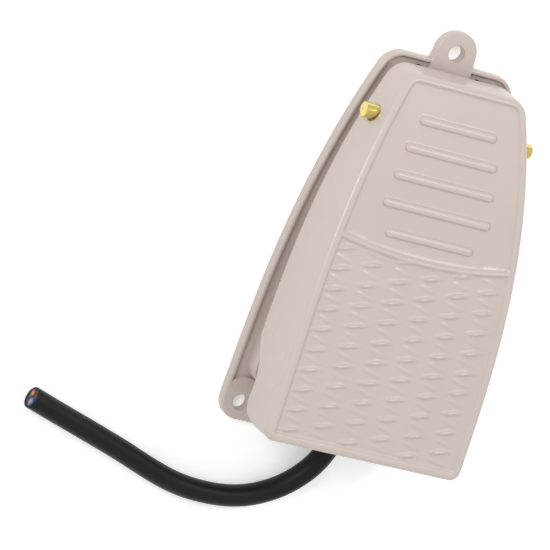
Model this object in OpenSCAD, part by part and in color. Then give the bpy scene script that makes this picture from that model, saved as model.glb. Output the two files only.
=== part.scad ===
// Cast treadle foot switch: a flat tray base screwed to the floor and a hollow pedal that rocks on two
// brass pins near its heel. The pedal is held up by a coil spring and trips a snap-action switch.
// X runs across the pedal, +Y towards the heel, +Z up. The origin is the middle of the base on the floor.

/* [Overall] */
// Length from the front edge of the base to the end of the rear lug
overall_len = 180; // [174:1:190]

/* [Pedal casting] */
// Length of the pedal from its toe wall to its heel wall
pedal_len = 156; // [150:0.5:158]
// Width of the pedal's top over the straight toe part
pedal_toe_w = 91.6; // [88:0.2:93]
// Width of the pedal's top at the heel wall
pedal_heel_w = 54.4; // [52:0.2:56]
// Height of the pedal's top at the toe wall
pedal_toe_h = 48.1; // [46:0.1:52]
// Height of the pedal's top at the heel wall
pedal_heel_h = 24.3; // [23.5:0.1:26]
// Radius of the pedal's crowned top, seen from the side
crown_r = 740; // [600:10:900]
// Thickness of the skirt, toe wall and heel wall
skirt_t = 2.8; // [2.2:0.1:3.2]
// Thickness of the top plate under the heel panel
top_t = 3; // [2.4:0.1:3.4]
// Radius of the soft edge round the top
edge_r = 2; // [1.6:0.1:3]
// Outward draft of the skirt from its top to its lower edge
skirt_draft = 1; // [0.4:0.1:1.2]
// Plan radius of the two toe corners
toe_corner_r = 4.5; // [3:0.5:8]
// Plan radius of the two heel corners
heel_corner_r = 8; // [7:0.5:10]
// Height of the skirt's lower edge at the heel
skirt_heel_z = 8.4; // [8:0.1:9]
// Height of the skirt's lower edge where the relief over the front ear starts
skirt_toe_z = 15.3; // [14.5:0.1:16]

/* [Treads] */
// Width of the smooth raised border round the top
border_w = 3.8; // [3.2:0.1:5]
// Depth of the heel panel's floor below the border
panel_depth = 1.2; // [0.9:0.1:1.4]
// Number of raised bars on the heel panel
bar_count = 5; // [3:1:5]
// Distance from bar to bar
bar_pitch = 11.5; // [10:0.1:11.8]
// Width of one bar
bar_w = 3.4; // [2.6:0.1:4]
// Height of the bars above the recessed floor
bar_h = 1.3; // [1:0.1:1.8]
// Radius of the arc ridge that closes the heel panel, seen from above
arc_r = 195; // [180:5:230]
// Width of the arc ridge
arc_w = 1.6; // [1.2:0.1:2]
// Long diagonal of one tread diamond
diamond_x = 27.5; // [26:0.5:30]
// Short diagonal of one tread diamond
diamond_y = 8.5; // [8:0.1:10]
// Width of a tread ridge at its foot
ridge_w = 2.8; // [2:0.1:3.2]
// Depth of the tread between its ridges
tread_depth = 1.1; // [0.8:0.1:1.3]

/* [Base casting] */
// Length of the tray without its lug
base_len = 166.35; // [165:0.05:167]
// Width of the tray over its straight front part
base_toe_w = 94.6; // [93.6:0.2:98]
// Width of the tray at its rear edge
base_heel_w = 57.4; // [56:0.2:60]
// Thickness of the tray's floor
floor_t = 2.5; // [2:0.1:3]
// Height of the lip round the tray
lip_h = 4.8; // [4.6:0.1:5.4]
// Width of the lip
lip_w = 1.8; // [1.6:0.1:2.4]
// Height of the inner wall that stands inside the pedal's skirt
inner_wall_z = 12.4; // [11:0.1:12.6]
// Thickness of the inner wall
inner_wall_t = 2; // [1.6:0.1:2.4]
// Distance from the outside of the pedal's top to the inner wall
inner_wall_in = 4.3; // [4:0.1:4.6]
// Thickness of the rear lug and the front ears
lug_t = 4.4; // [4:0.1:4.8]
// Radius of the rear lug
lug_r = 9.2; // [8.6:0.1:9.6]
// Diameter of the rear screw hole
rear_hole_d = 7.4; // [6.6:0.1:8]
// Diameter of the two front screw holes
front_hole_d = 7; // [6.4:0.1:7.6]
// Distance between the two front screw holes
front_hole_pitch = 77.5; // [77:0.1:78.5]

/* [Hinge] */
// Diameter of the brass pivot pins
pin_d = 6.5; // [6:0.1:7]
// Distance from the heel wall to the pin axis
pin_from_heel = 20.45; // [19.5:0.05:21.5]
// Height of the pin axis above the floor
pin_z = 18.8; // [18:0.1:19.4]
// Distance between the outer ends of the two pins
pin_span = 78.8; // [78:0.1:80]
// Running clearance between a pin and its hole, on the radius
pin_clearance = 0.05; // [0.03:0.01:0.08]
// Thickness of the base upright that carries a pin
upright_t = 6; // [5:0.1:6.4]
// Full travel of the pedal in degrees
travel = 4; // [3:0.1:4]

/* [Switch] */
// Length of the snap-action switch body
switch_l = 27.8; // [27:0.1:28.5]
// Width of the switch body
switch_w = 10.3; // [9.8:0.1:10.8]
// Height of the switch body
switch_h = 15.9; // [15:0.1:16.2]
// Distance between its two fixing holes
switch_hole_pitch = 22.2; // [21.6:0.1:22.6]
// Diameter of its two fixing screws
switch_screw_d = 3; // [2.8:0.1:3.2]
// Height the plunger stands above the body at rest
plunger_out = 2.6; // [2.5:0.1:2.9]
// Diameter of the plunger
plunger_d = 4; // [3.4:0.1:4.6]
// Distance from the pin axis to the plunger, towards the toe
trip_arm = 32.1; // [31:0.1:33]
// Diameter of the trip screw in the pedal
trip_screw_d = 4; // [3.6:0.1:4.4]

/* [Spring and buffers] */
// Distance from the pin axis to the return spring
spring_arm = 87; // [84:0.5:90]
// Outer diameter of the return spring
spring_d = 14; // [13:0.5:15]
// Wire diameter of the return spring
spring_wire = 1.6; // [1.4:0.1:1.8]
// Number of working turns
spring_turns = 7; // [5:1:8]
// Distance from the pin axis to the two rubber buffers that end the travel
buffer_arm = 112; // [110:0.5:114]
// Diameter of a buffer
buffer_d = 10; // [9:0.5:11]
// Height of a buffer above the tray's floor
buffer_h = 7; // [6:0.5:7.5]

/* [Cable] */
// Outer diameter of the cable
cable_d = 9.3; // [8.8:0.1:9.6]
// Diameter of one insulated core
core_d = 2.8; // [2.4:0.1:3]
// Distance of the cable entry from the middle, across the base
cable_x = 6; // [4:0.5:7]
// Height of the cable's middle at its entry
cable_z = 8.6; // [8.4:0.1:9]

/* [Hidden] */
$fn = 48;

enamel = [0.83, 0.78, 0.75];
brass = [0.80, 0.66, 0.30];
steel = [0.72, 0.73, 0.75];
rubber = [0.08, 0.08, 0.09];
phenolic = [0.16, 0.15, 0.15];

// Places along Y
base_front = -overall_len / 2;
base_rear = base_front + base_len;
lug_y = overall_len / 2 - lug_r;
toe_setback = 6.55;
toe_y = base_front + toe_setback;
heel_y = toe_y + pedal_len;
pin_y = heel_y - pin_from_heel;
trip_y = pin_y - trip_arm;
spring_y = pin_y - spring_arm;
buffer_y = pin_y - buffer_arm;

// Outlines: [toe half width, heel half width, toe y, heel y, y where the sides start to close, power of
// the closing curve, toe corner radius, heel corner radius]
straight_len = 18.45;
pedal_plan = [pedal_toe_w / 2, pedal_heel_w / 2, toe_y, heel_y, toe_y + straight_len, 2.75,
    toe_corner_r, heel_corner_r];
ear_r = 8.5;
base_corner_r = 10;
base_plan = [base_toe_w / 2, base_heel_w / 2, base_front, base_rear, toe_y + straight_len, 2.5,
    ear_r, base_corner_r];
inner_plan = [pedal_toe_w / 2, pedal_heel_w / 2, toe_y + 8.2, heel_y, toe_y + straight_len, 2.75,
    10, heel_corner_r];
panel_plan = [pedal_toe_w / 2, pedal_heel_w / 2, toe_y, heel_y + 1.2, toe_y + straight_len, 2.75,
    toe_corner_r, heel_corner_r];
corner_steps = 6;
side_steps = 14;

// Crown of the pedal's top: a circle through its toe and heel heights
chord_y = (toe_y + heel_y) / 2;
chord_z = (pedal_toe_h + pedal_heel_h) / 2;
chord_len = norm([heel_y - toe_y, pedal_heel_h - pedal_toe_h]);
crown_drop = sqrt(crown_r * crown_r - chord_len * chord_len / 4);
crown_y = chord_y + crown_drop * (pedal_heel_h - pedal_toe_h) / chord_len;
crown_z = chord_z - crown_drop * (heel_y - toe_y) / chord_len;

// Heights inside
ceiling_drop = panel_depth + top_t;
seat_gap = 0.1;
switch_z = floor_t + 2.5;
plunger_z = switch_z + switch_h + plunger_out;
trip_tip_z = plunger_z + seat_gap;
trip_nut_h = 3.2;
trip_nut_z = trip_tip_z + 1;
trip_boss_z = trip_nut_z + trip_nut_h;
spring_foot_z = floor_t + 1;
spring_top_z = crown(spring_y) - ceiling_drop - 1.4;
buffer_z = floor_t + buffer_h;
post_z = buffer_z + buffer_arm * sin(travel) + 0.5;

// Places across X
upright_gap = 0.4;
upright_head_r = pin_d / 2 + 2;
upright_x = half_at(pedal_plan, pin_y + upright_head_r + 1) - skirt_t - 0.6 - upright_t;
boss_x = upright_x + upright_t + upright_gap;
recess_x = half_at(pedal_plan, pin_y) - 0.5;
clip_t = 1;
clip_groove_d = pin_d - 1.5;
pin_inner_x = upright_x - clip_t - 1.2;
buffer_x = 26;
heel_pad_x = 14;
saddle_y = base_front + 28;
saddle_pitch = 20;
block_y = base_front + 12;
block_t = 7;
block_w = 25;
block_h = 12;
grommet_d = 12.4;
grommet_rim = 1.2;
grommet_lip = 1.6;
grommet_nose = 3.4;

// The free cable lies on the floor and ends in a plain cut
cable_route = [
    [6, -81.4, 8.6], [6, -82.8, 8.6], [5, -91.5, 8.1], [1.7, -100.6, 7.3], [-3.6, -108.5, 6],
    [-10.4, -114.7, 5.1], [-19, -119.4, 4.65], [-27.2, -121.8, 4.65], [-35.1, -122.8, 4.65],
    [-42.5, -122.9, 4.65], [-50, -122.4, 4.65], [-58.5, -120.9, 4.65], [-67, -118.5, 4.65],
    [-75, -115.9, 4.65], [-83, -113.2, 4.65], [-98.5, -108.5, 4.65], [-114, -104, 4.65],
    [-129, -99.5, 4.65]
];

// ---------- outlines and lofts ----------

// Half width of an outline at y
function half_at(o, y) =
    o[0] - (o[0] - o[1]) * pow(max(0, (y - o[4]) / (o[3] - o[4])), o[5]);

// Angle by which the side leans in at y
function lean_at(o, y) = atan((half_at(o, y - 0.5) - half_at(o, y + 0.5)));

// Right side of an outline, moved in by e, from the toe to the heel
function right_side(o, e) =
    let (yc = o[3] - o[7], lean = lean_at(o, yc), y1 = yc + o[7] * sin(lean), y0 = o[2] + o[6],
        xc = half_at(o, y1) - o[7] * cos(lean),
        rt = max(0.8, o[6] - e), rh = max(0.8, o[7] - e),
        et = o[6] - e - rt, eh = o[7] - e - rh)
    concat(
        [for (i = [0 : corner_steps]) let (a = -90 + 90 * i / corner_steps)
            [o[0] - o[6] + et + rt * cos(a), y0 - et + rt * sin(a)]],
        [for (i = [1 : side_steps - 1]) let (y = y0 - et + (y1 - y0 + et) * i / side_steps)
            [half_at(o, y) - e / cos(lean_at(o, y)), y]],
        [for (i = [0 : corner_steps]) let (a = lean + (90 - lean) * i / corner_steps)
            [xc + eh + rh * cos(a), yc + eh + rh * sin(a)]]);

// Whole outline, counterclockwise seen from above
function outline(o, e) =
    let (r = right_side(o, e))
    concat(r, [for (i = [len(r) - 1 : -1 : 0]) [-r[i][0], r[i][1]]]);

// Height of the pedal's crown at y
function crown(y) = crown_z + sqrt(crown_r * crown_r - (y - crown_y) * (y - crown_y));

// A closed solid through rings of points that are mirror images about X, from the lowest ring up
module loft(rings) {
    n = len(rings[0]);
    top = (len(rings) - 1) * n;
    polyhedron(
        points = [for (r = rings) each r],
        faces = concat(
            [for (i = [0 : n / 2 - 2]) [i, i + 1, n - 2 - i, n - 1 - i]],
            [for (k = [0 : len(rings) - 2], i = [0 : n - 1], t = [0, 1]) let (a = k * n + i,
                b = k * n + (i + 1) % n) t == 0 ? [a, a + n, b + n] : [a, b + n, b]],
            [for (i = [0 : n / 2 - 2]) [top + n - 1 - i, top + n - 2 - i, top + i + 1, top + i]]),
        convexity = 6);
}

// One flat ring of an outline
function flat_ring(o, e, z) = [for (p = outline(o, e)) [p[0], p[1], z]];

// One ring of an outline that follows the crown at a height above it
function crown_ring(o, e, above) = [for (p = outline(o, e)) [p[0], p[1], crown(p[1]) + above]];

// Everything below the crown less a drop
module under_crown(drop) {
    translate([0, crown_y, crown_z]) rotate([0, 90, 0])
        cylinder(r = crown_r - drop, h = 2 * pedal_toe_w, center = true, $fn = 720);
}

// A tube or bar swept along a route, with its rings square to the route
module sweep(route, d, sides) {
    n = len(route);
    dirs = [for (i = [0 : n - 1]) let (v = route[min(n - 1, i + 1)] - route[max(0, i - 1)]) v / norm(v)];
    side = [for (v = dirs) let (s = cross(v, [0, 0, 1])) s / norm(s)];
    polyhedron(
        points = [for (i = [0 : n - 1], j = [0 : sides - 1]) let (a = 360 * j / sides)
            route[i] + d / 2 * (cos(a) * side[i] + sin(a) * cross(side[i], dirs[i]))],
        faces = concat(
            [[for (j = [0 : sides - 1]) j]],
            [for (i = [0 : n - 2], j = [0 : sides - 1], t = [0, 1]) let (a = i * sides + j,
                b = i * sides + (j + 1) % sides) t == 0 ? [a, a + sides, b + sides] : [a, b + sides, b]],
            [[for (j = [sides - 1 : -1 : 0]) (n - 1) * sides + j]]),
        convexity = 6);
}

// A cylinder along X from x0 to x1
module rod_x(x0, x1, d, y, z) {
    translate([x0, y, z]) rotate([0, 90, 0]) cylinder(d = d, h = x1 - x0);
}

// A cylinder along Y from y0 to y1
module rod_y(y0, y1, d, x, z) {
    translate([x, y0, z]) rotate([-90, 0, 0]) cylinder(d = d, h = y1 - y0);
}

module at_sides(x) {
    for (s = [-1, 1]) translate([s * x, 0, 0]) children();
}

// ---------- base casting ----------

// Side elevation of one upright: a tapered cheek with a round head about the pin axis
module upright_shape() {
    head = upright_head_r;
    translate([pin_y, pin_z]) circle(r = head);
    polygon([[pin_y - head - 2, 0], [pin_y + head + 1, 0],
        [pin_y + head * cos(10), pin_z + head * sin(10)],
        [pin_y - head * cos(10), pin_z + head * sin(10)]]);
}

// Extrudes a shape drawn in Y and Z from x0 to x1
module across(x0, x1) {
    translate([x0, 0, 0]) rotate([90, 0, 90]) linear_extrude(x1 - x0) children();
}

module tray() {
    round_r = 0.7;
    difference() {
        loft([
            flat_ring(base_plan, 0.6, 0), flat_ring(base_plan, 0, 0.6),
            flat_ring(base_plan, 0, lip_h - round_r),
            flat_ring(base_plan, round_r * (1 - cos(45)), lip_h - round_r * (1 - sin(45))),
            flat_ring(base_plan, round_r, lip_h)]);
        translate([0, 0, floor_t]) linear_extrude(lip_h) polygon(outline(base_plan, lip_w));
        // The lip runs out over the two front ears
        at_sides(front_hole_pitch / 2)
            translate([0, base_front + ear_r, lug_t]) cylinder(r = ear_r + 2.4, h = lip_h);
        // The lip stops at the two edges of the lug's tongue
        translate([-lug_r - 1, base_rear - lip_w - 1, lug_t]) cube([2 * lug_r + 2, lip_w + 2, lip_h]);
    }
}

module ears() {
    intersection() {
        linear_extrude(lug_t) polygon(outline(base_plan, lip_w / 2));
        at_sides(front_hole_pitch / 2)
            translate([0, base_front + ear_r, 0]) cylinder(r = ear_r + 1.5, h = lug_t);
    }
}

module lug() {
    linear_extrude(lug_t) {
        translate([0, lug_y]) circle(r = lug_r);
        polygon([[-lug_r, lug_y], [lug_r, lug_y], [lug_r + 1.6, base_rear - lip_w - 7],
            [-lug_r - 1.6, base_rear - lip_w - 7]]);
    }
}

module switch_bracket() {
    x0 = switch_w / 2 + seat_gap / 2;
    translate([x0, trip_y - switch_l / 2, 0]) cube([3.5, switch_l, switch_z + 9]);
    for (s = [-1, 1])
        translate([-switch_w / 2, trip_y + s * (switch_l / 2 - 3) - 2, 0])
            cube([switch_w + 1, 4, switch_z - seat_gap / 2]);
}

// Wall inside the skirt that keeps dirt off the switch, with a gap for the cable
module inner_wall() {
    difference() {
        linear_extrude(inner_wall_z) polygon(outline(inner_plan, inner_wall_in));
        translate([0, 0, -1]) linear_extrude(inner_wall_z + 2)
            polygon(outline(inner_plan, inner_wall_in + inner_wall_t));
        translate([cable_x - block_w / 2, toe_y, cable_z - cable_d / 2 - 0.6])
            cube([block_w, 30, inner_wall_z]);
    }
}

module base_casting() {
    color(enamel) difference() {
        union() {
            tray();
            inner_wall();
            ears();
            lug();
            for (s = [-1, 1])
                across(s > 0 ? upright_x : -upright_x - upright_t, s > 0 ? upright_x + upright_t : -upright_x)
                    upright_shape();
            switch_bracket();
            translate([0, spring_y, 0]) {
                cylinder(d = spring_d + 4, h = spring_foot_z);
                cylinder(d = spring_d - 2 * spring_wire - 0.6, h = spring_foot_z + 4);
            }
            translate([cable_x - block_w / 2, block_y, 0]) cube([block_w, block_t, block_h]);
            translate([cable_x - 5, saddle_y - 4, 0]) cube([10, 8, cable_z - 2.4]);
            for (s = [-1, 1])
                translate([cable_x + s * saddle_pitch / 2, saddle_y, 0]) cylinder(d = 8, h = cable_z);
        }
        for (s = [-1, 1]) {
            rod_x(s * (upright_x + upright_t / 2) - upright_t, s * (upright_x + upright_t / 2) + upright_t,
                pin_d + 0.04, pin_y, pin_z);
            translate([s * front_hole_pitch / 2, base_front + ear_r - 0.9, -1])
                cylinder(d = front_hole_d, h = lug_t + 2);
            rod_x(0, switch_w, switch_screw_d + 0.04, trip_y + s * switch_hole_pitch / 2, switch_z + 3);
            translate([cable_x + s * saddle_pitch / 2, saddle_y, cable_z - 5]) cylinder(d = 3.04, h = 6);
        }
        translate([0, lug_y, -1]) cylinder(d = rear_hole_d, h = lug_t + 2);
        rod_y(block_y - 1, block_y + block_t + 1, grommet_d + 0.04, cable_x, cable_z);
        rod_y(block_y - 4, block_y, grommet_d + 2 * grommet_rim + 0.3, cable_x, cable_z);
        rod_y(block_y + block_t, block_y + block_t + grommet_lip + 0.1, grommet_d + 2 * grommet_rim + 0.3,
            cable_x, cable_z);
        rod_y(saddle_y - 5, saddle_y + 5, cable_d + 0.04, cable_x, cable_z);
        translate([cable_x - cable_d / 2 - 1.8, base_front - 1, cable_z - cable_d / 2 - 0.9])
            cube([cable_d + 2.6, lip_w + 2, lip_h]);
    }
}

// ---------- pedal casting ----------

// Lower edge of the skirt, drawn in Y and Z: straight along the side, then a relief over the ear
module below_skirt() {
    polygon([
        [heel_y + 5, skirt_heel_z], [toe_y + 34, skirt_toe_z], [toe_y + 28, skirt_toe_z + 3.7],
        [toe_y + 24, skirt_toe_z + 6.5], [toe_y + 20, skirt_toe_z + 8], [toe_y + 16, skirt_toe_z + 8.5],
        [toe_y + 7.5, skirt_toe_z + 8.5], [toe_y + 4.5, skirt_toe_z + 9.9],
        [toe_y + 2.6, skirt_toe_z + 12.6], [toe_y + 1.7, skirt_toe_z + 16.5],
        [toe_y - 5, skirt_toe_z + 16.9], [toe_y - 5, -5], [heel_y + 5, -5]]);
}

module pedal_outside() {
    loft(concat(
        [flat_ring(pedal_plan, -skirt_draft, skirt_heel_z - 4)],
        [for (a = [0 : 18 : 90])
            crown_ring(pedal_plan, edge_r * (1 - cos(a)), -edge_r * (1 - sin(a)))]));
}

// The shallow heel panel inside the border, with a soft slope down to its floor, up to the arc ridge
module heel_panel() {
    intersection() {
        loft([
            crown_ring(panel_plan, border_w + 2, -panel_depth),
            crown_ring(panel_plan, border_w + 1.3, -panel_depth * 0.8),
            crown_ring(panel_plan, border_w + 0.5, -panel_depth * 0.15),
            crown_ring(panel_plan, border_w, 0.02),
            crown_ring(panel_plan, border_w, 4)]);
        translate([0, arc_mid_y + arc_r, 0]) cylinder(r = arc_r - arc_w / 2, h = 60, $fn = 360);
    }
}

module heel_bars() {
    half = [17.9, 21.3, 23.2, 24.6, 20.4];
    first_y = heel_y - 17;
    for (i = [0 : bar_count - 1]) {
        y = first_y - i * bar_pitch;
        z = crown(y) - panel_depth - bar_w / 2 + bar_h;
        rod_x(-half[i] + bar_w / 2, half[i] - bar_w / 2, bar_w, y, z);
        for (s = [-1, 1]) translate([s * (half[i] - bar_w / 2), y, z]) sphere(d = bar_w, $fn = 24);
    }
}

arc_mid_y = heel_y - 72;

// The pits between the tread ridges: one tapered pit in each diamond, over the toe part inside the border
module tread_pits() {
    hx = diamond_x / 2;
    hy = diamond_y / 2;
    half_gap = hx * hy / norm([hx, hy]);
    crest_w = 0.4;
    above = 0.3;
    low = 1 - ridge_w / 2 / half_gap;
    slope = (ridge_w / 2 - crest_w / 2) / half_gap / tread_depth;
    high = low + slope * (tread_depth + above);
    cols = ceil(pedal_toe_w / diamond_x) + 1;
    rows = ceil(2 * pedal_len / diamond_y);
    cells = [for (i = [-cols : cols], j = [0 : rows]) let (c = [i * hx, arc_mid_y + 1 + hy - j * hy])
        if ((i + j) % 2 == 0 && c[1] > toe_y && abs(c[0]) < pedal_toe_w / 2 + hx) c];
    corners = [[hx, 0], [0, hy], [-hx, 0], [0, -hy]];
    intersection() {
        for (c = cells)
            polyhedron(
                points = concat(
                    [for (k = corners) let (p = c + k * low) [p[0], p[1], crown(p[1]) - tread_depth]],
                    [for (k = corners) let (p = c + k * high) [p[0], p[1], crown(p[1]) + above]]),
                faces = concat(
                    [[0, 1, 2], [0, 2, 3], [6, 5, 4], [7, 6, 4]],
                    [for (k = [0 : 3]) let (m = (k + 1) % 4) each [[k, k + 4, m + 4], [k, m + 4, m]]]));
        linear_extrude(60) difference() {
            polygon(outline(panel_plan, border_w));
            translate([0, arc_mid_y + arc_r]) circle(r = arc_r + arc_w / 2, $fn = 360);
        }
    }
}

module pedal_inside() {
    intersection() {
        linear_extrude(80) polygon(outline(pedal_plan, skirt_t));
        under_crown(ceiling_drop);
    }
}

// What stands inside the pedal, from below the ceiling up into the top plate
module pedal_bosses() {
    intersection() {
        union() {
            translate([0, spring_y, spring_top_z]) cylinder(d = spring_d + 4, h = 40);
            translate([0, spring_y, spring_top_z - 4])
                cylinder(d = spring_d - 2 * spring_wire - 0.6, h = 40);
            translate([0, trip_y, trip_boss_z]) cylinder(d = 9, h = 40);
            at_sides(buffer_x) translate([0, buffer_y, post_z]) cylinder(d = 8, h = 40);
            for (s = [-1, 1])
                rod_x(s > 0 ? boss_x : -boss_x - 8, s > 0 ? boss_x + 8 : -boss_x, 12, pin_y, pin_z);
        }
        intersection() {
            linear_extrude(80) polygon(outline(pedal_plan, skirt_t / 2));
            under_crown(panel_depth + top_t / 2);
        }
    }
}

module pedal_casting() {
    color(enamel) difference() {
        union() {
            difference() {
                pedal_outside();
                heel_panel();
                tread_pits();
                pedal_inside();
                across(-60, 60) below_skirt();
            }
            pedal_bosses();
            heel_bars();
        }
        for (s = [-1, 1]) {
            rod_x(s * 36 - 12, s * 36 + 12, pin_d + 2 * pin_clearance, pin_y, pin_z);
            rod_x(s > 0 ? recess_x : -recess_x - 8, s > 0 ? recess_x + 8 : -recess_x,
                pin_d + 1.8, pin_y, pin_z);
        }
        translate([0, trip_y, trip_boss_z - 1]) cylinder(d = trip_screw_d + 0.04, h = 6.4);
    }
}

// ---------- hinge ----------

module pivot_pin(side) {
    outer = pin_span / 2;
    c = 0.5;
    color(brass) translate([0, pin_y, pin_z]) rotate([0, 90 * side, 0]) difference() {
        rotate_extrude() polygon([
            [0, pin_inner_x], [pin_d / 2 - c, pin_inner_x], [pin_d / 2, pin_inner_x + c],
            [pin_d / 2, outer - c], [pin_d / 2 - c, outer], [0, outer]]);
        translate([0, 0, upright_x - clip_t]) difference() {
            cylinder(d = pin_d + 2, h = clip_t);
            translate([0, 0, -1]) cylinder(d = clip_groove_d, h = clip_t + 2);
        }
    }
}

// Spring clip in the pin's groove, open at the bottom
module pin_clip(side) {
    gap = 0.05;
    color(steel) translate([0, pin_y, pin_z]) rotate([0, 90 * side, 0])
        translate([0, 0, upright_x - clip_t + gap]) linear_extrude(clip_t - 2 * gap) difference() {
            circle(d = pin_d + 4.5);
            circle(d = clip_groove_d + 0.04);
            rotate(side > 0 ? 0 : 180) translate([0, -clip_groove_d * 0.4]) square([10, clip_groove_d * 0.8]);
        }
}

// ---------- spring, pads and buffers ----------

module return_spring() {
    seg = 14;
    sides = 6;
    dead = 1;
    turns = spring_turns + 2 * dead;
    h = spring_top_z - spring_foot_z;
    r = (spring_d - spring_wire) / 2;
    rise = h - spring_wire * (1 + 2 * dead * 1.05) - 0.1;
    pts = [for (i = [0 : turns * seg]) let (t = i / seg,
        z = spring_wire / 2 + 0.05 + (t < dead ? t * spring_wire * 1.05
            : t > turns - dead ? dead * spring_wire * 1.05 + rise + (t - turns + dead) * spring_wire * 1.05
            : dead * spring_wire * 1.05 + rise * (t - dead) / spring_turns))
        [r * cos(360 * t), spring_y + r * sin(360 * t), spring_foot_z + z]];
    color(steel) sweep(pts, spring_wire, sides);
}

// Rubber rest for the heel wall
module heel_pad(side) {
    color(rubber) translate([side * heel_pad_x, heel_y - skirt_t / 2 - 0.6, floor_t])
        cylinder(d = 4, h = skirt_heel_z - floor_t - 0.15);
}

module toe_buffer(side) {
    color(rubber) translate([side * buffer_x, buffer_y, floor_t]) {
        cylinder(d = buffer_d, h = buffer_h - 1.5);
        cylinder(d = buffer_d - 2.4, h = buffer_h);
    }
}

// ---------- switch ----------

module switch_box(x0, w) {
    translate([x0, trip_y - switch_l / 2, switch_z]) cube([w, switch_l, switch_h]);
}

module switch_holes() {
    for (s = [-1, 1])
        rod_x(-switch_w, switch_w, switch_screw_d + 0.1, trip_y + s * switch_hole_pitch / 2, switch_z + 3);
    translate([0, trip_y, switch_z + switch_h - 6]) cylinder(d = plunger_d + 0.2, h = 8);
}

cover_t = 2.5;

module switch_case() {
    color(phenolic) difference() {
        switch_box(-switch_w / 2 + cover_t, switch_w - cover_t);
        switch_holes();
    }
}

module switch_cover() {
    color([0.24, 0.22, 0.20]) difference() {
        switch_box(-switch_w / 2, cover_t);
        switch_holes();
    }
}

module switch_plunger() {
    color([0.72, 0.15, 0.12]) translate([0, trip_y, plunger_z - plunger_out - 3]) {
        cylinder(d = plunger_d, h = plunger_out + 2.4);
        cylinder(d = plunger_d - 1.2, h = plunger_out + 3);
    }
}

module switch_screws() {
    color(steel) for (s = [-1, 1]) translate([0, trip_y + s * switch_hole_pitch / 2, switch_z + 3])
        rotate([0, 90, 0]) difference() {
            union() {
                translate([0, 0, -switch_w / 2]) cylinder(d = switch_screw_d, h = switch_w + 3.4);
                translate([0, 0, -switch_w / 2 - 2]) cylinder(d = 5.5, h = 2);
            }
            translate([-0.4, -4, -switch_w / 2 - 3]) cube([0.8, 8, 2]);
        }
}

tab_w = 6.3;
tab_t = 0.8;
tab_len = 7;
tab_z = [3, 7.8, 12.6];

// Flat blade that stands out of the toe end of the switch
module terminal(i) {
    color(brass) translate([0.9 - tab_w / 2, trip_y - switch_l / 2 - tab_len, switch_z + tab_z[i]])
        difference() {
            cube([tab_w, tab_len, tab_t]);
            translate([tab_w / 2, 2, -1]) cylinder(d = 1.6, h = 3);
        }
}

// Push-on sleeve on a blade, with a barrel for the wire
module receptacle(i) {
    len_on = 5.5;
    y1 = trip_y - switch_l / 2 - tab_len + len_on;
    z0 = switch_z + tab_z[i] - 0.9;
    color(brass) difference() {
        union() {
            translate([0.9 - tab_w / 2 - 0.7, y1 - len_on - 1.2, z0]) cube([tab_w + 1.4, len_on + 1.2, 2.6]);
            rod_y(y1 - len_on - 6, y1 - len_on - 1, core_d + 1, 0.9, z0 + 1.3);
        }
        translate([0.9 - tab_w / 2 - 0.03, y1 - len_on - 0.1, z0 + 0.87])
            cube([tab_w + 0.06, len_on + 1, tab_t + 0.06]);
        rod_y(y1 - len_on - 7, y1 - len_on - 2, core_d + 0.04, 0.9, z0 + 1.3);
    }
}

module trip_screw() {
    color(steel) translate([0, trip_y, trip_tip_z]) {
        cylinder(d1 = trip_screw_d - 1.4, d2 = trip_screw_d, h = 0.7);
        translate([0, 0, 0.7]) cylinder(d = trip_screw_d, h = trip_boss_z - trip_tip_z + 4.3);
    }
}

module trip_nut() {
    color(steel) translate([0, trip_y, trip_nut_z]) difference() {
        cylinder(d = 8.1, h = trip_nut_h, $fn = 6);
        translate([0, 0, -1]) cylinder(d = trip_screw_d + 0.04, h = trip_nut_h + 2);
    }
}

// ---------- cable ----------

// Rubber bush in the front block, with a tapered nose round the cable
module cable_grommet() {
    neck = grommet_d / 2;
    rim = neck + grommet_rim;
    y0 = block_y + block_t;
    color(rubber) translate([cable_x, y0, cable_z]) rotate([90, 0, 0]) rotate_extrude() polygon([
            [cable_d / 2, -grommet_lip], [rim, -grommet_lip], [rim, 0], [neck, 0],
            [neck, block_t], [rim, block_t], [rim, block_t + grommet_lip],
            [cable_d / 2 + 0.9, block_t + grommet_nose], [cable_d / 2, block_t + grommet_nose]]);
}

nose_y = block_y - grommet_nose;
strip_y = saddle_y + 8;

// The cable's sheath inside the base, up to where it is stripped
module cable_tail() {
    color(rubber) rod_y(nose_y, strip_y, cable_d - 0.02, cable_x, cable_z);
}

module cable_saddle() {
    t = 1;
    r = cable_d / 2 + 0.02;
    foot = saddle_pitch / 2 + 4;
    color(steel) difference() {
        translate([cable_x, saddle_y + 4, cable_z]) rotate([90, 0, 0]) linear_extrude(8) {
            difference() {
                circle(r = r + t);
                circle(r = r);
                translate([-20, -40]) square([40, 40]);
            }
            translate([r, 0]) square([foot - r, t]);
            translate([-foot, 0]) square([foot - r, t]);
        }
        for (s = [-1, 1])
            translate([cable_x + s * saddle_pitch / 2, saddle_y, cable_z - 1]) cylinder(d = 3.4, h = 4);
    }
}

module saddle_screws() {
    color(steel) for (s = [-1, 1]) translate([cable_x + s * saddle_pitch / 2, saddle_y, cable_z]) difference() {
        union() {
            translate([0, 0, -4.5]) cylinder(d = 3, h = 6);
            translate([0, 0, 1]) cylinder(d = 5.6, h = 2);
        }
        translate([-4, -0.4, 2]) cube([8, 0.8, 2]);
    }
}

// Where a wire leaves the sheath and where it enters its sleeve
function wire_end(i) = [0.9, trip_y - switch_l / 2 - tab_len - 5, switch_z + tab_z[i] + 0.4];

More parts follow.
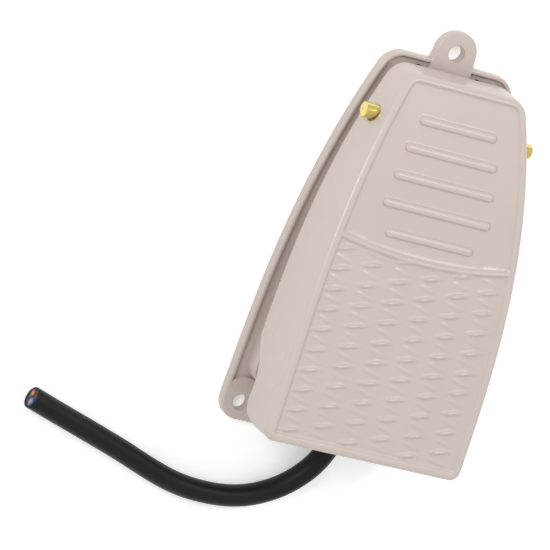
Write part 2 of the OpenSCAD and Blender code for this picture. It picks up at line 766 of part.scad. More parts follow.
module wire(i, out, start_x, bow_x, low_z) {
    end = wire_end(i);
    a = [start_x, strip_y, cable_z];
    points = concat(
        [a, a + [0, 3, 0]],
        [[bow_x - 2, strip_y + 12, low_z], [bow_x, spring_y, low_z], [bow_x - 1, spring_y + 16, low_z]],
        [[end[0] + 3, end[1] - 9, (low_z + end[2]) / 2], end - [0, 3, 0], end + [0, 1, 0]]);
    color(out) sweep(points, core_d, 8);
}

module cable_sheath() {
    color(rubber) sweep(cable_route, cable_d, 10);
}

// ---------- parts ----------

base_casting();
pedal_casting();
pivot_pin(-1);  // pivot_pin_left
pivot_pin(1);  // pivot_pin_right
pin_clip(-1);  // pin_clip_left
pin_clip(1);  // pin_clip_right
return_spring();
heel_pad(-1);  // heel_pad_left
heel_pad(1);  // heel_pad_right
toe_buffer(-1);  // toe_buffer_left
toe_buffer(1);  // toe_buffer_right
switch_case();
switch_cover();
switch_plunger();
switch_screws();
terminal(0);  // terminal_com
terminal(1);  // terminal_no
terminal(2);  // terminal_nc
receptacle(0);  // receptacle_com
receptacle(1);  // receptacle_no
trip_screw();
trip_nut();
cable_grommet();
cable_tail();
cable_saddle();
saddle_screws();
wire(0, [0.35, 0.18, 0.10], cable_x - 1.6, 11.6, 5);  // wire_brown
wire(1, [0.15, 0.35, 0.75], cable_x + 1.6, 14.6, 8.5);  // wire_blue
cable_sheath();
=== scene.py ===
"""Visible pieces of a cast treadle foot switch, built around its CAD frame."""

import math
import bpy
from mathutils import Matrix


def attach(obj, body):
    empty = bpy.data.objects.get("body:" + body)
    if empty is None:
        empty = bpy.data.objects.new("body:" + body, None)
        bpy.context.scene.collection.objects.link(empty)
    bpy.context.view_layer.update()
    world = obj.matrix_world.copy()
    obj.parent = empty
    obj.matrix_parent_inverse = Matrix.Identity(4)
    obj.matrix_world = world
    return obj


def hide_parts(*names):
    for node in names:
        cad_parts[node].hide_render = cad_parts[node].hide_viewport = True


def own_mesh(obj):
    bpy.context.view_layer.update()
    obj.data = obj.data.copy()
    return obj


bl_info = {
    "name": "Treadle foot switch",
    "version": (1, 0, 0),
    "blender": (4, 5, 0),
    "location": "View3D > Sidebar > Foot switch",
    "description": "Builds the visible pieces of a cast treadle foot switch around its CAD frame",
    "category": "Add Mesh",
}

from collections import namedtuple

import bmesh
import bpy
import numpy as np
from mathutils import Matrix, Vector
from mathutils.geometry import delaunay_2d_cdt

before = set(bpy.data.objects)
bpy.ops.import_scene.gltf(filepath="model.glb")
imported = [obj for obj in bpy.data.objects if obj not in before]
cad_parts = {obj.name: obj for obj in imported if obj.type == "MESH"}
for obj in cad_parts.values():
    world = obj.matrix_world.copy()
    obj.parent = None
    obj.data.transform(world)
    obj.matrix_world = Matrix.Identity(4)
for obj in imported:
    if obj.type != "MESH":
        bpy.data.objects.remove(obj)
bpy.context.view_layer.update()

MM = 0.001

# Plan outlines in millimetres, as the castings have them: half widths at toe and heel, the two ends,
# where the sides start to close, the power of the closing curve, and the two corner radii
Plan = namedtuple("Plan", "toe_half heel_half toe_y heel_y close_y power toe_r heel_r")
TOE_Y, HEEL_Y = -83.45, 72.55
PEDAL = Plan(45.8, 27.2, TOE_Y, HEEL_Y, TOE_Y + 18.45, 2.75, 4.5, 8.0)
# The sunk floors keep a narrower border at the heel
PANEL = PEDAL._replace(heel_y=HEEL_Y + 1.2)
TRAY = Plan(47.3, 28.7, -90.0, 76.35, TOE_Y + 18.45, 2.5, 8.5, 10.0)
WALL = Plan(45.8, 27.2, TOE_Y + 8.2, HEEL_Y, TOE_Y + 18.45, 2.75, 10.0, 8.0)

# Crown of the pedal, seen from the side
CROWN_R = 740.0
TOE_H, HEEL_H = 48.1, 24.3
CHORD = math.hypot(HEEL_Y - TOE_Y, HEEL_H - TOE_H)
CHORD_TO_CENTRE = math.sqrt(CROWN_R**2 - CHORD**2 / 4)
CROWN_Y = (TOE_Y + HEEL_Y) / 2 + CHORD_TO_CENTRE * (HEEL_H - TOE_H) / CHORD
CROWN_Z = (TOE_H + HEEL_H) / 2 - CHORD_TO_CENTRE * (HEEL_Y - TOE_Y) / CHORD

# Treadle: its round edge, skirt and ceiling, and the arc between heel panel and tread
EDGE_R = 2.0
SKIRT_T, SKIRT_FOOT_Z, DRAFT = 2.8, 4.4, 1.0
CEILING_DROP = 4.2
ARC_Y, ARC_R = HEEL_Y - 72, 195.0
# Hinge
PEDAL_TRAVEL = math.radians(4)
PIN_Y, PIN_Z, PIN_D, PIN_END_X = 52.1, 18.8, 6.5, 39.4
CHEEK_R = PIN_D / 2 + 2
UPRIGHT_X, UPRIGHT_T = 22.62, 6.0
PIN_BOSS_X, PIN_BOSS_END_X = UPRIGHT_X + UPRIGHT_T + 0.4, 31.5
# Tray
FLOOR_T, LIP_H, LIP_W, LUG_T = 2.5, 4.8, 1.8, 4.4
LUG_Y, LUG_R, LUG_HOLE_R = 80.8, 9.2, 3.7
EAR_X, EAR_R, EAR_HOLE_R = 38.75, 8.5, 3.5
# Pieces under the treadle, by their distance from the hinge
TRIP_Y = PIN_Y - 32.1
SPRING_Y = PIN_Y - 87
SPRING_D, SPRING_WIRE, SPRING_TURNS = 14.0, 1.6, 7
SEAT_R, SEAT_DROP, SPRING_CORE_R, SPRING_CORE_H = 9, 1.4, 5.1, 4
BUFFER_ARM = 112
BUFFER_X, BUFFER_Y, BUFFER_Z = 26.0, PIN_Y - BUFFER_ARM, FLOOR_T + 7
POST_Z = BUFFER_Z + BUFFER_ARM * math.sin(PEDAL_TRAVEL) + 0.5
# Switch
SWITCH_Z, SWITCH_L, SWITCH_W, SWITCH_HOLE_Y = 5.0, 27.8, 10.3, 11.1
TRIP_TIP_Z = SWITCH_Z + 15.9 + 2.6 + 0.1
TRIP_BOSS_Z = TRIP_TIP_Z + 1 + 3.2
THREAD_R = 1.52
# Cable, its block and its saddle
CABLE_D = 9.3
CABLE_X, CABLE_Z = 6.0, 8.6
BLOCK_Y, BLOCK_T, BLOCK_W, BLOCK_H = -78.0, 7.0, 25.0, 12.0
SADDLE_Y, SADDLE_HOLE_X = -62.0, 10
BUSH_NECK_R, BUSH_RIM_R = 6.15, 7.4

# The cable's middle line, from the bush to its cut end
CABLE_ROUTE = [
    (6, -81.4, 8.6), (6, -82.8, 8.6), (5, -91.5, 8.1), (1.7, -100.6, 7.3), (-3.6, -108.5, 6),
    (-10.4, -114.7, 5.1), (-19, -119.4, 4.65), (-27.2, -121.8, 4.65), (-35.1, -122.8, 4.65),
    (-42.5, -122.9, 4.65), (-50, -122.4, 4.65), (-58.5, -120.9, 4.65), (-67, -118.5, 4.65),
    (-75, -115.9, 4.65), (-83, -113.2, 4.65), (-98.5, -108.5, 4.65), (-114, -104, 4.65),
    (-129, -99.5, 4.65),
]


# ---------- small helpers ----------


def linear(text):
    """An sRGB hex colour as linear red, green, blue and alpha."""
    values = [int(text[i : i + 2], 16) / 255 for i in (1, 3, 5)]
    return [v / 12.92 if v <= 0.04045 else ((v + 0.055) / 1.055) ** 2.4 for v in values] + [1.0]


def add_node(tree, kind, inputs=(), **settings):
    """Adds a node with its settings, and a value or a link for each named or numbered input."""
    node = tree.nodes.new(kind)
    for name, value in settings.items():
        setattr(node, name, value)
    for name, value in dict(inputs).items():
        if isinstance(value, bpy.types.NodeSocket):
            tree.links.new(value, node.inputs[name])
        else:
            node.inputs[name].default_value = value
    return node


def show(name, mesh):
    """A mesh as an object of the scene."""
    obj = bpy.data.objects.new(name, mesh)
    bpy.context.scene.collection.objects.link(obj)
    return obj


def mesh_of(points, faces, name="piece"):
    """A mesh from points in millimetres and their faces."""
    mesh = bpy.data.meshes.new(name)
    mesh.from_pydata((np.asarray(points, float) * MM).tolist(), [], faces)
    return mesh


def plain(obj):
    """The evaluated shape of an object as a mesh of its own, with the modifiers gone."""
    mesh = bpy.data.meshes.new_from_object(obj.evaluated_get(bpy.context.evaluated_depsgraph_get()))
    obj.modifiers.clear()
    obj.data = mesh
    return obj


def combine(piece, other, operation):
    """Joins, cuts or crosses two closed pieces, and drops the second."""
    step = piece.modifiers.new(operation, "BOOLEAN")
    step.operation = operation
    step.solver = "MANIFOLD"
    step.object = other
    plain(piece)
    bpy.data.objects.remove(other)
    return piece


def outward(obj):
    """Merges doubles and turns every face of a closed piece outwards."""
    work = bmesh.new()
    work.from_mesh(obj.data)
    bmesh.ops.remove_doubles(work, verts=work.verts, dist=1e-6)
    bmesh.ops.recalc_face_normals(work, faces=work.faces)
    work.to_mesh(obj.data)
    work.free()
    return obj


def finish_piece(obj, body, material, replaced=(), crease=35.0):
    """Gives a finished piece its material, smooth shading and body, and hides the CAD nodes it replaces."""
    obj.data.materials.clear()
    obj.data.materials.append(material)
    obj.data.polygons.foreach_set("material_index", [0] * len(obj.data.polygons))
    obj.data.shade_smooth()
    obj.data.set_sharp_from_angle(angle=math.radians(crease))
    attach(obj, body)
    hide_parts(*replaced)
    return obj


def placing(origin, axis):
    """The move that takes the origin to a place and turns Z to an axis."""
    turn = Vector((0, 0, 1)).rotation_difference(Vector(axis)).to_matrix().to_4x4()
    return Matrix.Translation(Vector(origin)) @ turn


def turned(name, profile, origin, axis, steps=48):
    """A closed turned solid. The profile runs in (distance along the axis, radius), from axis to axis."""
    place = placing(origin, axis)
    points, faces = [], []
    for along, radius in profile:
        count = 1 if radius == 0 else steps
        points.append([place @ Vector((radius * math.cos(2 * math.pi * j / steps),
                                       radius * math.sin(2 * math.pi * j / steps), along))
                       for j in range(count)])
    starts = np.cumsum([0] + [len(r) for r in points])
    for k in range(len(points) - 1):
        a, b = starts[k], starts[k + 1]
        for j in range(steps):
            m = (j + 1) % steps
            if len(points[k]) == 1:
                faces.append((a, b + j, b + m))
            elif len(points[k + 1]) == 1:
                faces.append((a + m, a + j, b))
            else:
                faces.append((a + m, a + j, b + j, b + m))
    flat = [tuple(p) for ring in points for p in ring]
    return outward(show(name, mesh_of(flat, faces, name)))


def rod(origin, axis, radius, length, soft=0.4):
    """A closed rod with softened ends."""
    s = min(soft, radius / 2, length / 2)
    round_end = [(s * (1 - math.sin(a)), radius - s * (1 - math.cos(a)))
                 for a in (math.pi / 2, math.pi / 4, 0)]
    if soft == 0:
        round_end = [(0, radius)]
    profile = [(0, 0)] + round_end + [(length - x, r) for x, r in reversed(round_end)] + [(length, 0)]
    return turned("rod", profile, origin, axis)


def extruded(points, place, depth, soft=0.5):
    """A closed prism on a plan polygon, moved to its place, with the rims of both ends rounded."""
    work = bmesh.new()
    face = work.faces.new([work.verts.new((x * MM, y * MM, 0)) for x, y in points])
    top = bmesh.ops.extrude_face_region(work, geom=[face])
    moved = [v for v in top["geom"] if isinstance(v, bmesh.types.BMVert)]
    bmesh.ops.translate(work, verts=moved, vec=(0, 0, depth * MM))
    bmesh.ops.recalc_face_normals(work, faces=work.faces)
    if soft:
        caps = [f for f in work.faces if abs(f.normal.z) > 0.9]
        rims = list({e for f in caps for e in f.edges})
        bmesh.ops.bevel(work, geom=rims, offset=soft * MM, segments=3, profile=0.5, affect="EDGES")
    mesh = bpy.data.meshes.new("prism")
    work.to_mesh(mesh)
    work.free()
    turn = place.copy()
    turn.translation = turn.translation * MM
    mesh.transform(turn)
    return outward(show("prism", mesh))


def block(low, high, soft=0.5):
    """A closed block between two corners, with its upper and lower rims rounded."""
    (x0, y0, z0), (x1, y1, z1) = low, high
    corners = [(x0, y0), (x1, y0), (x1, y1), (x0, y1)]
    return extruded(corners, Matrix.Translation((0, 0, z0)), z1 - z0, soft)


# Turns a shape drawn in Y and Z so that it is extruded along X
ACROSS = Matrix(((0, 0, 1, 0), (1, 0, 0, 0), (0, 1, 0, 0), (0, 0, 0, 1)))


# ---------- plan outlines ----------


def half_width(plan, y):
    """Half the width of an outline at a place along Y."""
    closing = np.maximum(0.0, (y - plan.close_y) / (plan.heel_y - plan.close_y))
    return plan.toe_half - (plan.toe_half - plan.heel_half) * closing**plan.power


def lean(plan, y):
    """Angle by which the side of an outline leans inwards, towards the heel."""
    return np.arctan(half_width(plan, y - 0.5) - half_width(plan, y + 0.5))


def ring(plan, inset, corner=10, side=110, flat=30):
    """A closed outline moved in by an inset, counterclockwise from the middle of the toe."""
    yc = plan.heel_y - plan.heel_r
    slant = float(lean(plan, yc))
    y1 = yc + plan.heel_r * math.sin(slant)
    y0 = plan.toe_y + plan.toe_r
    xc = float(half_width(plan, y1)) - plan.heel_r * math.cos(slant)
    rt, rh = max(0.8, plan.toe_r - inset), max(0.8, plan.heel_r - inset)
    et, eh = plan.toe_r - inset - rt, plan.heel_r - inset - rh
    a = np.radians(np.linspace(-90, 0, corner + 1))
    toe = np.column_stack([plan.toe_half - plan.toe_r + et + rt * np.cos(a), y0 - et + rt * np.sin(a)])
    y = np.linspace(y0 - et, y1, side + 1)[1:-1]
    sides = np.column_stack([half_width(plan, y) - inset / np.cos(lean(plan, y)), y])
    a = np.linspace(slant, math.pi / 2, corner + 1)
    heel = np.column_stack([xc + eh + rh * np.cos(a), yc + eh + rh * np.sin(a)])
    share = np.linspace(0, 1, flat + 1)[:-1, None]
    front = np.array([0, toe[0, 1]]) * (1 - share) + toe[0] * share
    back = heel[-1] * share[1:] + np.array([0, heel[-1, 1]]) * (1 - share[1:])
    back = back[::-1]
    right = np.vstack([front, toe, sides, heel, back, [[0, heel[-1, 1]]]])
    left = right[-2:0:-1] * [-1, 1]
    return np.vstack([right, left])


def depth_inside(plan, points):
    """Distance of each point from the outline, inwards."""
    line = ring(plan, 0, 8, 60, 2)
    after = np.roll(line, -1, axis=0)
    best = np.full(len(points), 1e9)
    for a, b in zip(line, after):
        along = np.clip(((points - a) @ (b - a)) / ((b - a) @ (b - a)), 0, 1)
        best = np.minimum(best, np.linalg.norm(points - a - along[:, None] * (b - a), axis=1))
    inside = (np.abs(points[:, 0]) < half_width(plan, points[:, 1])) & (points[:, 1] > plan.toe_y) & (
        points[:, 1] < plan.heel_y)
    return np.where(inside, best, -best)


def crown(y):
    """Height of the treadle's crowned top."""
    return CROWN_Z + np.sqrt(CROWN_R**2 - (y - CROWN_Y) ** 2)


def smooth(t):
    """A soft step from 0 to 1."""
    t = np.clip(t, 0, 1)
    return t * t * (3 - 2 * t)


def strips(levels):
    """Points and faces of closed rings stacked one on the next."""
    count = len(levels[0])
    faces = []
    for k in range(len(levels) - 1):
        a, b = k * count, (k + 1) * count
        faces += [(a + j, a + (j + 1) % count, b + (j + 1) % count, b + j) for j in range(count)]
    return np.vstack(levels), faces


def filled(loop, inner, edges=()):
    """Triangles inside a closed loop, through all the inner points and along the given edges."""
    points = np.vstack([loop, inner]) if len(inner) else np.asarray(loop)
    out = delaunay_2d_cdt([Vector(p) for p in points], [tuple(e) for e in edges],
                          [list(range(len(loop)))], 1, 1e-5)
    return np.array([tuple(v) for v in out[0]]), [tuple(f) for f in out[2]]


# ---------- node trees and materials ----------


def geometry_tree(name, lengths, shape=False):
    """An empty Geometry Nodes tree with a named input for each length, and one for a shape to change."""
    tree = bpy.data.node_groups.new(name, "GeometryNodeTree")
    if shape:
        tree.interface.new_socket("Geometry", in_out="INPUT", socket_type="NodeSocketGeometry")
    for label, default in lengths.items():
        socket = tree.interface.new_socket(label, in_out="INPUT", socket_type="NodeSocketFloat")
        socket.default_value = default
    tree.interface.new_socket("Geometry", in_out="OUTPUT", socket_type="NodeSocketGeometry")
    return tree


def end_tree(tree, shape, finish):
    """Ends a tree with real faces that wear a finish."""
    real = add_node(tree, "GeometryNodeRealizeInstances", {"Geometry": shape})
    dressed = add_node(tree, "GeometryNodeSetMaterial", {"Geometry": real.outputs[0], "Material": finish})
    add_node(tree, "NodeGroupOutput", {"Geometry": dressed.outputs[0]})


def material(name, colour, metallic=0.0, roughness=0.5, **more):
    """A new node material: its tree, its shader and its object coordinates."""
    made = bpy.data.materials.new(name)
    made.use_nodes = True
    made.diffuse_color = colour
    shader = made.node_tree.nodes["Principled BSDF"]
    shader.inputs["Base Color"].default_value = colour
    shader.inputs["Metallic"].default_value = metallic
    shader.inputs["Roughness"].default_value = roughness
    for socket, value in more.items():
        shader.inputs[socket.replace("_", " ")].default_value = value
    place = add_node(made.node_tree, "ShaderNodeTexCoord").outputs["Object"]
    return made, made.node_tree, shader, place


def enamel_material():
    """Stoved enamel on die-cast aluminium: thick, glossy, a little uneven, with soft corners."""
    made, tree, shader, place = material("stoved_enamel", colours().enamel, roughness=0.3)
    # Slow unevenness of the coat, about 30 mm across, and its fine orange peel, about 1.6 mm
    cloud = add_node(tree, "ShaderNodeTexNoise", {"Vector": place, "Scale": 1 / 0.030, "Detail": 3.0})
    peel = add_node(tree, "ShaderNodeTexNoise", {"Vector": place, "Scale": 1 / 0.0016, "Detail": 2.0})
    tone = add_node(tree, "ShaderNodeMapRange", {"Value": cloud.outputs[0], "To Min": 0.97, "To Max": 1.02})
    base = add_node(tree, "ShaderNodeMix", {0: 1.0, 6: colours().enamel, 7: tone.outputs[0]},
                    data_type="RGBA", blend_type="MULTIPLY")
    gloss = add_node(tree, "ShaderNodeMapRange", {"Value": cloud.outputs[0], "To Min": 0.22, "To Max": 0.30})
    soft = add_node(tree, "ShaderNodeBevel", {"Radius": 0.0005}, samples=4)
    bump = add_node(tree, "ShaderNodeBump", {"Height": peel.outputs[0], "Strength": 0.12,
                                             "Distance": 0.0002, "Normal": soft.outputs[0]})
    tree.links.new(base.outputs[2], shader.inputs["Base Color"])
    tree.links.new(gloss.outputs[0], shader.inputs["Roughness"])
    tree.links.new(bump.outputs[0], shader.inputs["Normal"])
    return made


def grained(name, colour, metallic, roughness, grain, depth, spread=0.06, stretch=(1, 1, 1), **more):
    """A material with one fine grain, given as its real size and depth in metres."""
    made, tree, shader, place = material(name, colour, metallic, roughness, **more)
    turn = add_node(tree, "ShaderNodeMapping", {"Vector": place, "Scale": stretch})
    noise = add_node(tree, "ShaderNodeTexNoise",
                     {"Vector": turn.outputs[0], "Scale": 1 / grain, "Detail": 4.0, "Roughness": 0.6})
    shade = add_node(tree, "ShaderNodeMapRange",
                     {"Value": noise.outputs[0], "To Min": 1 - spread, "To Max": 1 + spread})
    base = add_node(tree, "ShaderNodeMix", {0: 1.0, 6: colour, 7: shade.outputs[0]},
                    data_type="RGBA", blend_type="MULTIPLY")
    rough = add_node(tree, "ShaderNodeMapRange", {"Value": noise.outputs[0],
                     "To Min": roughness * 0.75, "To Max": min(1.0, roughness * 1.25)})
    bump = add_node(tree, "ShaderNodeBump", {"Height": noise.outputs[0], "Strength": 0.35, "Distance": depth})
    tree.links.new(base.outputs[2], shader.inputs["Base Color"])
    tree.links.new(rough.outputs[0], shader.inputs["Roughness"])
    tree.links.new(bump.outputs[0], shader.inputs["Normal"])
    return made


def make_materials():
    """Every finish of the object, by its slot."""
    c = colours()
    return {
        "enamel": enamel_material(),
        # Turned brass: bright, with fine rings from the lathe tool
        "brass": grained("turned_brass", c.brass, 1.0, 0.22, 0.0006, 0.00004, stretch=(4, 1, 1)),
        # Zinc-plated steel: pale, slightly cloudy
        "steel": grained("zinc_plated_steel", c.steel, 1.0, 0.34, 0.0020, 0.00003),
        # Moulded rubber: dull and finely grained
        "rubber": grained("moulded_rubber", c.rubber, 0.0, 0.62, 0.0007, 0.00006),
        # Pressed phenolic: dark and slightly speckled
        "phenolic": grained("pressed_phenolic", c.phenolic, 0.0, 0.42, 0.0008, 0.00002, 0.2),
        "plunger_red": grained("moulded_acetal", c.plunger, 0.0, 0.40, 0.0015, 0.00002),
        # Rubber cable sheath: extruded, with a faint shine along it
        "sheath": grained("extruded_rubber_sheath", c.sheath, 0.0, 0.46, 0.0012, 0.00005, 0.15,
                          Specular_IOR_Level=0.25),
        "core_brown": grained("brown_core_insulation", c.core_brown, 0.0, 0.40, 0.0015, 0.00002),
        "core_blue": grained("blue_core_insulation", c.core_blue, 0.0, 0.40, 0.0015, 0.00002),
        "copper": grained("bare_copper", c.copper, 1.0, 0.30, 0.0008, 0.00002),
        "filler": grained("cable_filler", c.filler, 0.0, 0.80, 0.0006, 0.00008, 0.2),
    }


finishes = {}


def finish_of(slot):
    """The finish of a slot. All of them are made when the first is asked for."""
    if not finishes:
        finishes.update(make_materials())
    return finishes[slot]


# ---------- cable ----------


def smooth_route(points, per_span):
    """A smooth curve through points, with the same number of steps in each span."""
    p = np.asarray(points, float)
    p = np.vstack([2 * p[0] - p[1], p, 2 * p[-1] - p[-2]])
    out = []
    for i in range(1, len(p) - 2):
        for t in np.linspace(0, 1, per_span, endpoint=False):
            a, b, c, d = p[i - 1 : i + 3]
            out.append(0.5 * (2 * b + (c - a) * t + (2 * a - 5 * b + 4 * c - d) * t**2
                              + (3 * b - a - 3 * c + d) * t**3))
    return np.array(out + [p[-2]])


def tube_levels(route, radii, sides):
    """Rings of a tube square to a route, one radius for each point."""
    n = len(route)
    levels = []
    for i in range(n):
        way = route[min(n - 1, i + 1)] - route[max(0, i - 1)]
        way = way / np.linalg.norm(way)
        side = np.cross(way, [0, 0, 1])
        side = side / np.linalg.norm(side)
        up = np.cross(side, way)
        a = 2 * math.pi * np.arange(sides) / sides
        levels.append(route[i] + radii[i] * (np.outer(np.cos(a), side) + np.outer(np.sin(a), up)))
    return levels


def capped(levels):
    """Points and faces of a tube with flat ends."""
    points, faces = strips(levels)
    count = len(levels[0])
    faces.append(tuple(range(count))[::-1])
    faces.append(tuple(range(len(points) - count, len(points))))
    return points, faces


def make_cable():
    """The sheath on its route, and at its cut end the filler, the two cores and their copper."""
    line = smooth_route(CABLE_ROUTE, 6)
    way = (line[-1] - line[-2]) / np.linalg.norm(line[-1] - line[-2])
    radius = CABLE_D / 2
    # The cut end is a thin wall round a shallow recess
    end = line[-1]
    route = list(line[:-1]) + [end - 0.25 * way, end, end, end - 0.35 * way]
    radii = [radius] * len(line) + [radius - 0.15, radius - 0.95, radius - 1.0]
    directions = tube_levels(np.array(list(line[:-1]) + [end]), [1.0] * len(line), 32)[-1] - end
    levels = tube_levels(line, [radius] * len(line), 32)[:-1]
    for centre, r in zip(route[len(line) - 1 :], radii[len(line) - 1 :]):
        levels.append(centre + r * directions)
    points, faces = capped(levels)
    sheath = outward(show("cable", mesh_of(points, faces)))
    finish_piece(sheath, "base", finish_of("sheath"), ["cable_sheath"])

    across = np.array([-way[1], way[0], 0])
    across = across if across[1] > 0 else -across
    offset = 2.0 * (0.80 * across + 0.60 * np.array([0, 0, -1]))
    inner = end - 0.5 * way
    face = [(0, 0), (0, radius - 1.05), (0.25, radius - 1.05), (0.25, 0)]
    bed = turned("cable_filler", face, inner, way, 32)
    finish_piece(bed, "base", finish_of("filler"))
    with_pieces = [bed]
    for name, side in (("core_brown", 1), ("core_blue", -1)):
        centre = inner + side * offset
        core = turned(name + "_cut", [(0, 0), (0, 1.7), (0.42, 1.7), (0.50, 1.6), (0.50, 0.95),
                                      (0.36, 0.9), (0.36, 0)], centre, way, 32)
        finish_piece(core, "base", finish_of(name))
        strands = make_strands(name + "_strands", centre, way)
        with_pieces += [core, strands]
    path = [tuple(p * MM) for p in line[::3]]
    if (len(line) - 1) % 3:
        path.append(tuple(line[-1] * MM))


def make_strands(name, centre, way):
    """Bare copper strands in the middle of a cut core, laid in rings of six and twelve."""
    tree = geometry_tree("copper_strands", {"Strand diameter": 0.36 * MM, "Strand length": 0.6 * MM})
    given = add_node(tree, "NodeGroupInput")
    strand = given.outputs["Strand diameter"]
    ring_6 = add_node(tree, "GeometryNodeMeshCircle", {"Vertices": 6, "Radius": strand})
    twice = add_node(tree, "ShaderNodeMath", {0: strand, 1: 1.95}, operation="MULTIPLY")
    ring_12 = add_node(tree, "GeometryNodeMeshCircle", {"Vertices": 12, "Radius": twice.outputs[0]})
    middle = add_node(tree, "GeometryNodeMeshLine", {"Count": 1})
    places = add_node(tree, "GeometryNodeJoinGeometry")
    for source in (ring_6, ring_12, middle):
        tree.links.new(source.outputs[0], places.inputs[0])
    radius = add_node(tree, "ShaderNodeMath", {0: strand, 1: 0.5}, operation="MULTIPLY")
    wire = add_node(tree, "GeometryNodeMeshCylinder", {
        "Vertices": 8, "Radius": radius.outputs[0], "Depth": given.outputs["Strand length"]})
    copies = add_node(tree, "GeometryNodeInstanceOnPoints", {
        "Points": places.outputs[0], "Instance": wire.outputs["Mesh"]})
    end_tree(tree, copies.outputs[0], finish_of("copper"))
    obj = show(name, bpy.data.meshes.new(name))
    obj.modifiers.new("strands", "NODES").node_group = tree
    plain(obj)
    obj.data.transform(placing((centre + 0.2 * way) * MM, way))
    return finish_piece(obj, "base", finish_of("copper"))


def make_bush():
    """Rubber bush round the cable, with a rim at each end of its neck and a tapering nose."""
    r, rim, neck = CABLE_D / 2 + 0.02, BUSH_RIM_R, BUSH_NECK_R
    profile = [(-1.6, r), (-1.6, rim - 0.5), (-1.1, rim), (-0.3, rim), (0, rim - 0.3), (0.05, neck),
               (6.95, neck), (7.0, rim - 0.3), (7.3, rim), (8.1, rim), (8.6, rim - 0.5),
               (9.0, rim - 1.0), (9.5, rim - 1.15), (9.9, rim - 1.3), (10.4, r + 0.9), (10.4, r)]
    bush = ring_solid("cable_bush", profile, (CABLE_X, BLOCK_Y + BLOCK_T, CABLE_Z), (0, -1, 0))
    finish_piece(bush, "base", finish_of("rubber"), ["cable_grommet"])


def ring_solid(name, profile, origin, axis, steps=56):
    """A closed turned ring. The profile runs in (distance along the axis, radius) and closes on itself."""
    place = placing(origin, axis)
    a = 2 * math.pi * np.arange(steps) / steps
    levels = []
    for along, radius in profile + profile[:1]:
        levels.append(np.array([tuple(place @ Vector((radius * math.cos(t), radius * math.sin(t), along)))
                                for t in a]))
    points, faces = strips(levels)
    return outward(show(name, mesh_of(points, faces, name)))


# ---------- pedal ----------

BAR_HALVES = (17.9, 21.3, 23.2, 25.0, 20.4)
TREAD_OFFSET = -1.4


def bar_lines(s):
    """Middle line of each heel bar: its half length less the round end, and its place along Y."""
    radius = s.bar_width / MM / 2
    first, pitch = HEEL_Y - 17, s.bar_pitch / MM
    return [(half - radius, first - i * pitch) for i, half in enumerate(BAR_HALVES)]


def bar_height(s, points):
    """Height of the heel bars over the panel's floor, with a soft foot."""
    radius, high = s.bar_width / MM / 2, s.bar_height / MM
    total = np.zeros(len(points))
    for half, y in bar_lines(s):
        away = np.hypot(np.maximum(0, np.abs(points[:, 0]) - half), points[:, 1] - y)
        round_top = high * np.sqrt(np.clip(1 - (away / (radius + 0.25)) ** 2, 0, 1)) ** 0.9
        foot = 0.28 * high * np.exp(-((away / (radius + 0.1)) ** 4))
        total = np.maximum(total, np.maximum(round_top, foot))
    return total


def arc_height(s, points):
    """Share of the ridge round the heel panel, 1 on its crest and 0 on both floors."""
    away = np.abs(np.hypot(points[:, 0], points[:, 1] - ARC_Y - ARC_R) - ARC_R)
    return 1 - smooth((away - 0.25) / (s.arc_width / MM / 2 + 0.75))


